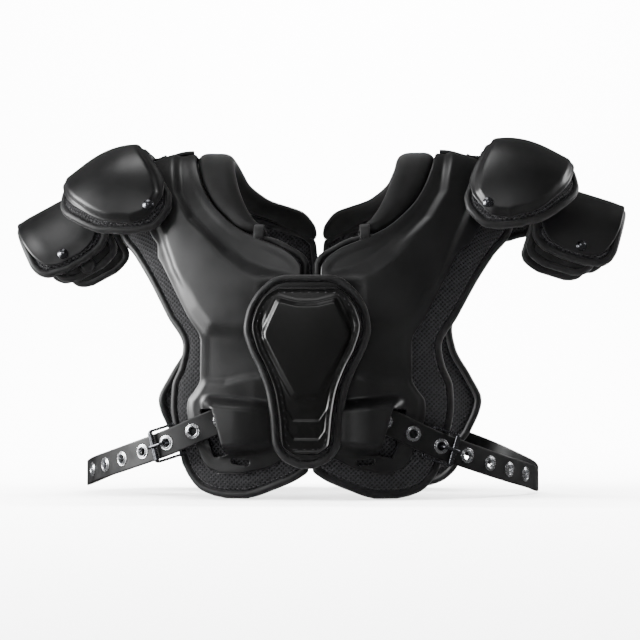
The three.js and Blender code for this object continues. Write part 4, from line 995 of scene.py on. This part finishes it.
def sternum():
    place = on_body("left")
    rows = sternum_rows(STERNUM_ROWS)
    fine = [(rows[0][0], rows[2][0], 0.7), (rows[-3][0], rows[-1][0], 0.8)]
    patch = Patch(TORSO, rows, 1.6, 24, EDGE, fine)
    welt = 0.5 * np.exp(-((patch.edge - 9.2) / 0.9) ** 2)
    half = STERNUM_THICK / 2
    thick = bound_profile(patch.edge, half - 0.6, 5.2, 0.55, 4.0)
    middle = STERNUM_NEAR + half
    piece = patch.solid(
        "sternum_pad", middle + thick + welt, middle - np.minimum(thick, half - 0.4), place,
        [JERSEY, TAPE], "mesh_cloth", taped_cells(patch))

    patch = Patch(TORSO, sternum_rows(COVER_ROWS), 1.0, 76, SHELL_EDGE[:-1])
    x, z = patch.x, patch.base[..., 2]
    into = inside_distance(x, z, PLATE)
    plate = 0.8 * smoothstep(into, -4.6, 0.2) + 0.2 * smoothstep(into, -0.6, 0.5)
    inner = smoothstep(patch.edge, 5.5, 7.5)
    lip = 0.5 * np.exp(-((into + 5.4) / 0.7) ** 2)
    # Each field under the plate sinks towards the next, whose upper edge stands proud
    dip = 0
    for corners in (STEP_ONE, STEP_TWO):
        above = inside_distance(x, z, corners)
        dip = dip + 1.3 * (1 - smoothstep(above, 0.3, 13)) * smoothstep(above, -0.7, 0.4)
    bead = 1.1 * np.exp(-((patch.edge - 1.2) / 0.8) ** 2) - 0.6 * smoothstep(patch.edge, 2, 4)
    near = STERNUM_NEAR + STERNUM_THICK + 0.1
    rise = 2.0 + 3.0 * plate + lip * inner - dip * inner * (1 - plate) + bead
    top = near + rise * rounded(patch.edge, 1.2)
    patch.solid("sternum_cover", top, np.full_like(top, near - 0.05), place, [POLISHED],
                "moulded_shell")
    sewn("sternum_stitches", patch, 4.8, near + 1.5, place, 7.5, 2.4)


def sewn(name, patch, inset, lift, place, pitch, length):
    """A line of stitches at a distance in from a patch's outline."""
    spacing = 0.5
    loop = patch.outline(spacing)
    line = patch.saddle.point(loop[:, 0], loop[:, 1])
    normal = patch.saddle.normal(loop[:, 0], loop[:, 1])
    along = np.roll(line, -3, 0) - np.roll(line, 3, 0)
    along /= np.linalg.norm(along, axis=1, keepdims=True)
    inward = np.cross(normal, along)
    # The outline starts along the inner edge, where inward is towards +x
    inward *= np.sign(inward[len(line) // 20:len(line) // 3, 0].mean())
    parts = []
    for i in range(0, len(line), max(1, int(pitch / spacing))):
        middle = line[i] + inward[i] * inset + normal[i] * lift
        ends = [middle + along[i] * t * length / 2 - normal[i] * 0.4 * abs(t) for t in (-1, 0, 1)]
        up = place(line[i] + normal[i]) - place(line[i])
        parts.append(sweep(place(np.array(ends)), up, round_section(0.9, 0.7, 5)))
    make_piece(name, *joined(parts), [THREAD], "webbing")


# Belts

BELT_ROUTE = [
    (66, -138.5, 78), (84, -135.5, 73), (104, -131, 65.5), (124, -125, 57), (146, -114.5, 48.5),
    (170, -96, 39.5), (192, -72, 31.5), (212, -42, 24.5), (224, -5, 19), (222, 32, 20.5),
    (207, 67, 28), (184, 92, 38), (158, 100.4, 48), (132, 104.9, 57), (108, 108.6, 63),
]
BELT_TURN = 9
BELT_WIDTH = 25
BELT_THICK = 2.5
BUCKLE_AT = 0.168
BUCKLE_LENGTH = 24
BUCKLE_BAR = 2.6
BUCKLE_CLEAR = 1.5  # belt edge to the frame's side bars
ROLLER = 4.2
STRAP_THICK = 1.6
GROMMET_PITCH = 30
GROMMETS = 7
GROMMET_LIP = 0.8
FIT_GAP = 0.3
ROLLER_OUT = BELT_THICK / 2 + GROMMET_LIP + 2 * FIT_GAP + ROLLER / 2
HEEL_IN = -(BELT_THICK / 2 + 2 * FIT_GAP + STRAP_THICK + BUCKLE_BAR / 2)
FRAME_HALF = BELT_WIDTH / 2 + BUCKLE_CLEAR + BUCKLE_BAR / 2


class BeltLine:
    """The belt's middle line: a centripetal curve through the chosen points."""

    def __init__(self, side):
        values = SIDES[side]
        points = []
        free, far = BELT_ROUTE[3][0], BELT_ROUTE[BELT_TURN][0]
        for i, (x, y, z) in enumerate(BELT_ROUTE):
            ahead = i < BELT_TURN
            drop = values["drop"] * float(smoothstep(x, free / 2, free))
            reach = values["reach"] * float(smoothstep(x, free, far))
            shift = values["housing"] * (1 - i / BELT_TURN) if ahead else 0
            points.append((x + reach + shift, y, z + drop * (1 if ahead else 0.4)))
        p = np.array(points, float)
        p = np.vstack([2 * p[0] - p[1], p, 2 * p[-1] - p[-2]])
        curve = []
        for k in range(1, len(p) - 2):
            d0, d1, d2 = (np.sum((p[k + j] - p[k + j - 1]) ** 2) ** 0.25 for j in (0, 1, 2))
            a, b, c, d = p[k - 1], p[k], p[k + 1], p[k + 2]
            t1 = ((b - a) / d0 - (c - a) / (d0 + d1) + (c - b) / d1) * d1
            t2 = ((c - b) / d1 - (d - b) / (d1 + d2) + (d - c) / d2) * d1
            t = np.linspace(0, 1, 200, endpoint=k == len(p) - 3)[:, None]
            curve.append(b + t1 * t + (-3 * b + 3 * c - 2 * t1 - t2) * t ** 2
                         + (2 * b - 2 * c + t1 + t2) * t ** 3)
        self.line = np.concatenate(curve)
        self.run = np.concatenate(
            [[0], np.cumsum(np.linalg.norm(np.diff(self.line, axis=0), axis=1))])
        self.length = self.run[-1]
        self.mirror = flip(side)

    def frames(self, run):
        run = np.atleast_1d(np.asarray(run, float))
        at = lambda r: np.stack([np.interp(r, self.run, self.line[:, k]) for k in range(3)], 1)
        centre = at(run)
        ahead, behind = np.minimum(run + 1, self.length), np.maximum(run - 1, 0)
        along = at(ahead) - at(behind)
        along /= np.linalg.norm(along, axis=1, keepdims=True)
        across = np.array([0, 0, 1.0]) - along * along[:, 2:3]
        across /= np.linalg.norm(across, axis=1, keepdims=True)
        out = np.cross(along, across)
        return centre, along, across, out

    def place(self, run, up, away):
        centre, _, across, out = self.frames(run)
        p = centre + across * np.reshape(up, (-1, 1)) + out * np.reshape(away, (-1, 1))
        return p * self.mirror

    def directions(self, run):
        """Along, across and out at one place, on this side."""
        return [way[0] * self.mirror for way in self.frames(run)[1:]]


def band(line, runs, width, thick, away, holes=(), radius=4.7, corner=0.9):
    """A strap along the belt line with rounded edges and round holes."""
    shares = [0, 0.14, 0.28, 0.42, 0.56, 0.72, 0.86, 0.93, 0.975, 1]
    across = np.array([-share for share in shares[:0:-1]] + shares) * width / 2
    up, run = np.tile(across, len(runs)), np.repeat(runs, len(across))
    half = np.tile(thick / 2 * rounded(width / 2 - np.abs(across), corner), len(runs))
    hole = np.full(len(run), 99.0)
    for h in holes:
        gap = np.hypot(run - h, up) - radius
        hole = np.where(np.abs(gap) < np.abs(hole), gap, hole)
    verts = np.concatenate([line.place(run, up, away + lift) for lift in (half, -half)])
    faces, _ = closed_faces(cell_mean(hole.reshape(len(runs), -1)) > 0)
    return verts, faces[:, ::-1] if line.mirror[0] > 0 else faces


def grommet_runs(line):
    first = BUCKLE_AT * line.length - 2 * GROMMET_PITCH
    return [first + GROMMET_PITCH * i for i in range(GROMMETS)]


def eyelet(line, run):
    """A rolled eyelet with its washer, through the belt."""
    face, inner, washer = BELT_THICK / 2, 4.0, 7.45
    profile = [
        (inner, -face - 0.9), (inner + 0.1, face + 0.3), (inner + 0.5, face + 1.0),
        (inner + 1.0, face + 1.15), (inner + 1.5, face + 0.8), (inner + 1.7, face + 0.35),
        (6.3, face + 0.3), (6.8, face + 0.5), (7.3, face + 0.3), (washer, face),
        (washer, -face), (7.3, -face - 0.25), (inner + 1.9, -face - 0.75),
        (inner + 0.9, -face - 1.05), (inner + 0.2, -face - 1.0), (inner, -face - 0.9)]
    return lathe(profile, line.place(run, 0, 0)[0], line.directions(run)[2], 28)


def belt(side):
    line = BeltLine(side)
    runs = np.linspace(0, line.length, int(line.length / 1.6))
    grommets = grommet_runs(line)
    strap = band(line, runs, BELT_WIDTH, BELT_THICK, 0, grommets, 5.4)
    dress("belt_" + side, *strap, [BELTING], "belt")
    for i, run in enumerate(grommets):
        dress("grommet_%d_%s" % (i + 1, side), *eyelet(line, run), [NICKEL], "nickel")
    heel = BUCKLE_AT * line.length - BUCKLE_LENGTH / 2
    buckle_frame(line, side, heel)
    buckle_tongue(line, side, heel)
    buckle_strap(line, side, heel)


def buckle_frame(line, side, heel):
    """A rod bent round four corners, with its roller."""
    corner, roll = 3.0, heel + BUCKLE_LENGTH
    past = roll + 1.6
    ring = []
    for k, (run, up) in enumerate((
            (heel + corner, corner - FRAME_HALF), (past - corner, corner - FRAME_HALF),
            (past - corner, FRAME_HALF - corner), (heel + corner, FRAME_HALF - corner))):
        for t in np.linspace(0, math.pi / 2, 6):
            turn = math.pi + k * math.pi / 2 + t
            ring.append((run + corner * math.cos(turn), up + corner * math.sin(turn)))
    run, up = np.array(ring).T
    away = HEEL_IN + (ROLLER_OUT - HEEL_IN) * (run - heel) / BUCKLE_LENGTH
    out = line.directions(heel + BUCKLE_LENGTH / 2)[2]
    rod = sweep(line.place(run, up, away), out,
                flat_section(BUCKLE_BAR, BUCKLE_BAR - 0.3, 0.9), closed=True)
    span = FRAME_HALF - 1.6
    bar = [line.place(roll, u, ROLLER_OUT)[0] for u in (-span, 0.4 - span, span - 0.4, span)]
    roller = sweep(bar, out, round_section(ROLLER, ROLLER, 20))
    dress("buckle_frame_" + side, *joined([rod, roller]), [GUNMETAL], "gunmetal")


def buckle_tongue(line, side, heel):
    """From the heel bar through the eyelet onto the roller."""
    middle, roll = heel + BUCKLE_LENGTH / 2, heel + BUCKLE_LENGTH
    tip = ROLLER_OUT + ROLLER / 2 + 1.0
    stops = np.array([
        (heel - 2.4, -0.4, HEEL_IN), (heel - 1.2, 0, HEEL_IN + 2.4),
        (heel + 0.6, 0, HEEL_IN + 2.6), (middle - 3.4, 0, HEEL_IN + 2.0), (middle - 1.0, 0, 0.6),
        (middle + 1.6, 0, tip - 0.9), (middle + 5, 0, tip), (roll, 0, tip + 0.1),
        (roll + 3.0, 0, tip - 0.3), (roll + 4.6, 0, tip - 1.0)])
    points = line.place(*smoothed(stops, 46).T)
    dress("buckle_tongue_" + side,
          *sweep(points, line.directions(middle)[2], flat_section(2.8, 2.0, 0.8)),
          [GUNMETAL], "gunmetal")


def buckle_strap(line, side, heel):
    """The short strap from the housing, folded round the heel bar."""
    behind = -(BELT_THICK / 2 + FIT_GAP + STRAP_THICK / 2)
    runs = np.linspace(0.02 * line.length, heel - 1, 60)
    parts = [band(line, runs, BELT_WIDTH - 3, STRAP_THICK, behind)]
    reach = BUCKLE_BAR / 2 + 0.2 + STRAP_THICK / 2
    edge, slit = BELT_WIDTH / 2 - 1.5, 3.2
    turns = np.linspace(0, 2 * math.pi, 20, endpoint=False)
    for sign in (-1, 1):
        loop = line.place(heel + reach * np.cos(turns), np.full(20, sign * (edge + slit) / 2),
                          HEEL_IN + reach * np.sin(turns))
        parts.append(sweep(loop, line.directions(heel)[1],
                           flat_section(STRAP_THICK, edge - slit, 0.5), closed=True))
    dress("buckle_strap_" + side, *joined(parts), [BELTING], "belt")


def smoothed(stops, count):
    """Points along a smooth line through a few stops."""
    t = np.linspace(0, len(stops) - 1, count)
    return np.stack([smooth_table(np.arange(len(stops)), row, t) for row in stops.T], 1)


# Small straps, lanyards and laces

def arch_top(x, above):
    return TORSO.lifted(x, 90, above)


def ribbon(node, points, width, thick, side):
    """A flat strap along points of the arch's crown, on one side."""
    line = smoothed(np.array(points) * flip(side), 40)
    dress(node + "_" + side, *sweep(line, [0, 0, 1], flat_section(width, thick, thick * 0.45)),
          [WEBBING], "webbing")


def under_crown(side, pivot, turn, x, z):
    p = on_pivot(side, pivot, turn)(np.array([x, 0, z], float))
    return np.array([abs(p[0]), 0, p[2]])


def crown_straps(side):
    above = SHELL_FAR + 0.9
    width, thick = 24, 1.9
    caps = [under_crown(side, CAP_PIVOT, "roll", x,
                        CAP.point(x, 90.0)[2] - CAP_PAD_THICK - 1 - CAP_SAG) for x in (22, 38)]
    ribbon("cap_strap", [arch_top(150, above + 4), arch_top(160, above + 4), *caps],
           width, thick, side)
    depth = FLAP_PAD_THICK + UNDER_PAD_THICK + LAYER_GAP + FLAP_SAG + 1
    flaps = [under_crown(side, FLAP_PIVOT, "droop", x, -depth) for x in (16, 39)]
    ribbon("flap_strap", [arch_top(186, above + 3), arch_top(193, above + 2),
                          arch_top(200, above), *flaps], width, thick, side)
    lift = SHELL_FAR + 2.7
    ribbon("lanyard_tab", [arch_top(125, lift), arch_top(134, lift + 0.4), arch_top(143, lift)],
           12, 4.6, side)


def lanyard(side):
    """An elastic cord in a loop from the tab to the cap pad's inner edge."""
    tab = arch_top(142, SHELL_FAR + 3.4)
    hold = under_crown(side, CAP_PIVOT, "roll", CAP_TOP[0] - PAD_MARGIN + 2,
                       CAP.point(4.0, 90.0)[2] - 3)
    parts = []
    t = np.linspace(0, 1, 24)[:, None]
    bow = np.sin(np.pi * t[:, 0])
    for sway in (-4.5, 4.5):
        p = tab * (1 - t) + hold * t
        p[:, 1] += sway * bow * 0.4 + sway * t[:, 0]
        p[:, 2] -= 0.7 * bow
        parts.append(sweep(p * flip(side), [0, 0, 1], round_section(1.9, 1.9, 10)))
    dress("lanyard_cord_" + side, *joined(parts), [WEBBING], "webbing")


def lace(back):
    """The lacing between the arches: a cord crossed over a strip, down the front or the back."""
    node = "back_lace" if back else "front_lace"
    t, half, crossing = TORSO, SHELL_INNER - 0.3, 9
    levels = sorted(float(t.station(t.angle_for(0.0, z, back))) for z in (LACE_LOW, LACE_HIGH))
    rows = [(at, -half, half) for at in np.linspace(*levels, 5)]
    patch = Patch(t, rows, 1.6, 6, [0, 0.3, 0.9])
    patch.solid(node, np.full_like(patch.x, 1.5), np.full_like(patch.x, 0.3), on_body("left"),
                [WEBBING], "webbing")
    stations = np.linspace(levels[0] + 4, levels[1] - 4, 160)
    angles = t.angle_at(stations)
    parts = []
    for phase in (0, math.pi):
        turn = (stations - levels[0]) / crossing * math.pi + phase
        x = (half - 1.4) * np.cos(turn)
        points = t.lifted(x, angles, 2.4 + 0.5 * np.sin(turn))
        parts.append(sweep(points, t.normal(x, angles), round_section(1.8, 1.4, 8)))
    make_piece(node + "_cord", *joined(parts), [WEBBING], "webbing")


# Camera, light and floor

def studio():
    # A paper sweep: level under the pad, then up behind it
    half, depth, lift, wall = 5, 1.6, 1.2, 5
    turns = np.linspace(0, math.pi / 2, 17)
    profile = [(-6, 0), (-1, 0)]
    profile += [(depth + lift * math.sin(t), lift * (1 - math.cos(t))) for t in turns]
    profile.append((depth + lift, wall))
    verts = [(x, y, z) for y, z in profile for x in (-half, half)]
    faces = [(2 * i, 2 * i + 1, 2 * i + 3, 2 * i + 2) for i in range(len(profile) - 1)]
    mesh = bpy.data.meshes.new("floor")
    mesh.from_pydata(verts, [], faces)
    mesh.polygons.foreach_set("use_smooth", np.ones(len(faces), bool))
    mesh.materials.append(matt_paper("studio_paper", "#fcfcfc"))
    floor = bpy.data.objects.new("floor", mesh)
    floor.location = (0, 0, -0.0005)
    # The pad is black in front of white: the paper lights it, but isn't mirrored in its gloss
    floor.visible_glossy = False
    bpy.context.scene.collection.objects.link(floor)
    only_paper = bpy.data.collections.new("paper_only")
    bpy.context.scene.collection.children.link(only_paper)
    only_paper.objects.link(floor)
    world = bpy.data.worlds.new("studio")
    bpy.context.scene.world = world
    world.use_nodes = True
    # White behind the paper's edge, dim as a light
    tree = world.node_tree
    dim = tree.nodes["Background"]
    dim.inputs["Color"].default_value = (1, 1, 1, 1)
    dim.inputs["Strength"].default_value = 0.11
    mixed = add_node(tree, "MixShader", "Shader", tree.nodes["World Output"].inputs["Surface"],
                     Fac=add_node(tree, "LightPath", "Is Camera Ray"))
    tree.links.new(dim.outputs["Background"], mixed.node.inputs[1])
    add_node(tree, "Background", "Background", mixed.node.inputs[2], Color=(1, 1, 1, 1),
             Strength=1.0)
    # Soft boxes: place, size, power and what they point at; the key stands at the wearer's right
    pad, paper, ground = (0, 0, 0.2), (0, 2.9, 0.5), (0, 1.2, 0)
    lamps = [
        ("key", (-2.1, -0.85, 1.2), (0.8, 1.0), 62, pad),
        ("low", (-1.9, -1.2, 0.3), (0.7, 0.7), 15, pad),
        ("side", (-2.2, -0.3, 0.6), (0.7, 0.9), 90, pad),
        ("front", (-0.3, -2.2, 1.9), (0.9, 0.9), 10, pad),
        ("top", (-0.4, 0.3, 2.2), (0.9, 0.6), 9, pad),
        ("rim", (1.8, 0.7, 1.0), (0.5, 1.3), 24, pad),
        ("paper", (0, 1.2, 2.7), (3.2, 0.6), 700, paper),
        ("ground", (0, -0.4, 2.6), (3.0, 2.0), 420, ground),
    ]
    for name, place, size, power, target in lamps:
        light = bpy.data.lights.new(name, "AREA")
        light.shape, light.size, light.size_y, light.energy = "RECTANGLE", *size, power
        lamp = bpy.data.objects.new(name, light)
        lamp.location = place
        aim = Vector(target) - Vector(place)
        lamp.rotation_euler = aim.to_track_quat("-Z", "Y").to_euler()
        if target is not pad:
            lamp.light_linking.receiver_collection = only_paper
        bpy.context.scene.collection.objects.link(lamp)


# The camera stands low and looks up a little at the middle of the pad's height
AXIS_COLUMN = 3.5 / 640
EYE = 0.105
AIM = 0.175
DISTANCE = 2.0
LENS = 110.3
AZIMUTH = math.radians(2.5)


def camera():
    data = bpy.data.cameras.new("camera")
    data.lens, data.sensor_width = LENS, 36
    data.shift_x = AXIS_COLUMN
    view = bpy.data.objects.new("camera", data)
    aim = Vector((MIDDLE[0] * MM, MIDDLE[1] * MM, AIM))
    view.location = Vector((
        aim.x + DISTANCE * math.sin(AZIMUTH), aim.y - DISTANCE * math.cos(AZIMUTH), EYE))
    view.rotation_euler = (view.location - aim).to_track_quat("Z", "Y").to_euler()
    bpy.context.scene.collection.objects.link(view)
    bpy.context.scene.camera = view


camera()
studio()
for side in SIDES:
    body_pad(side)
    arch_shell(side)
    collar(side)
    cap(side)
    flap(side)
    belt(side)
    crown_straps(side)
    lanyard(side)
sternum()
for back in (False, True):
    lace(back)
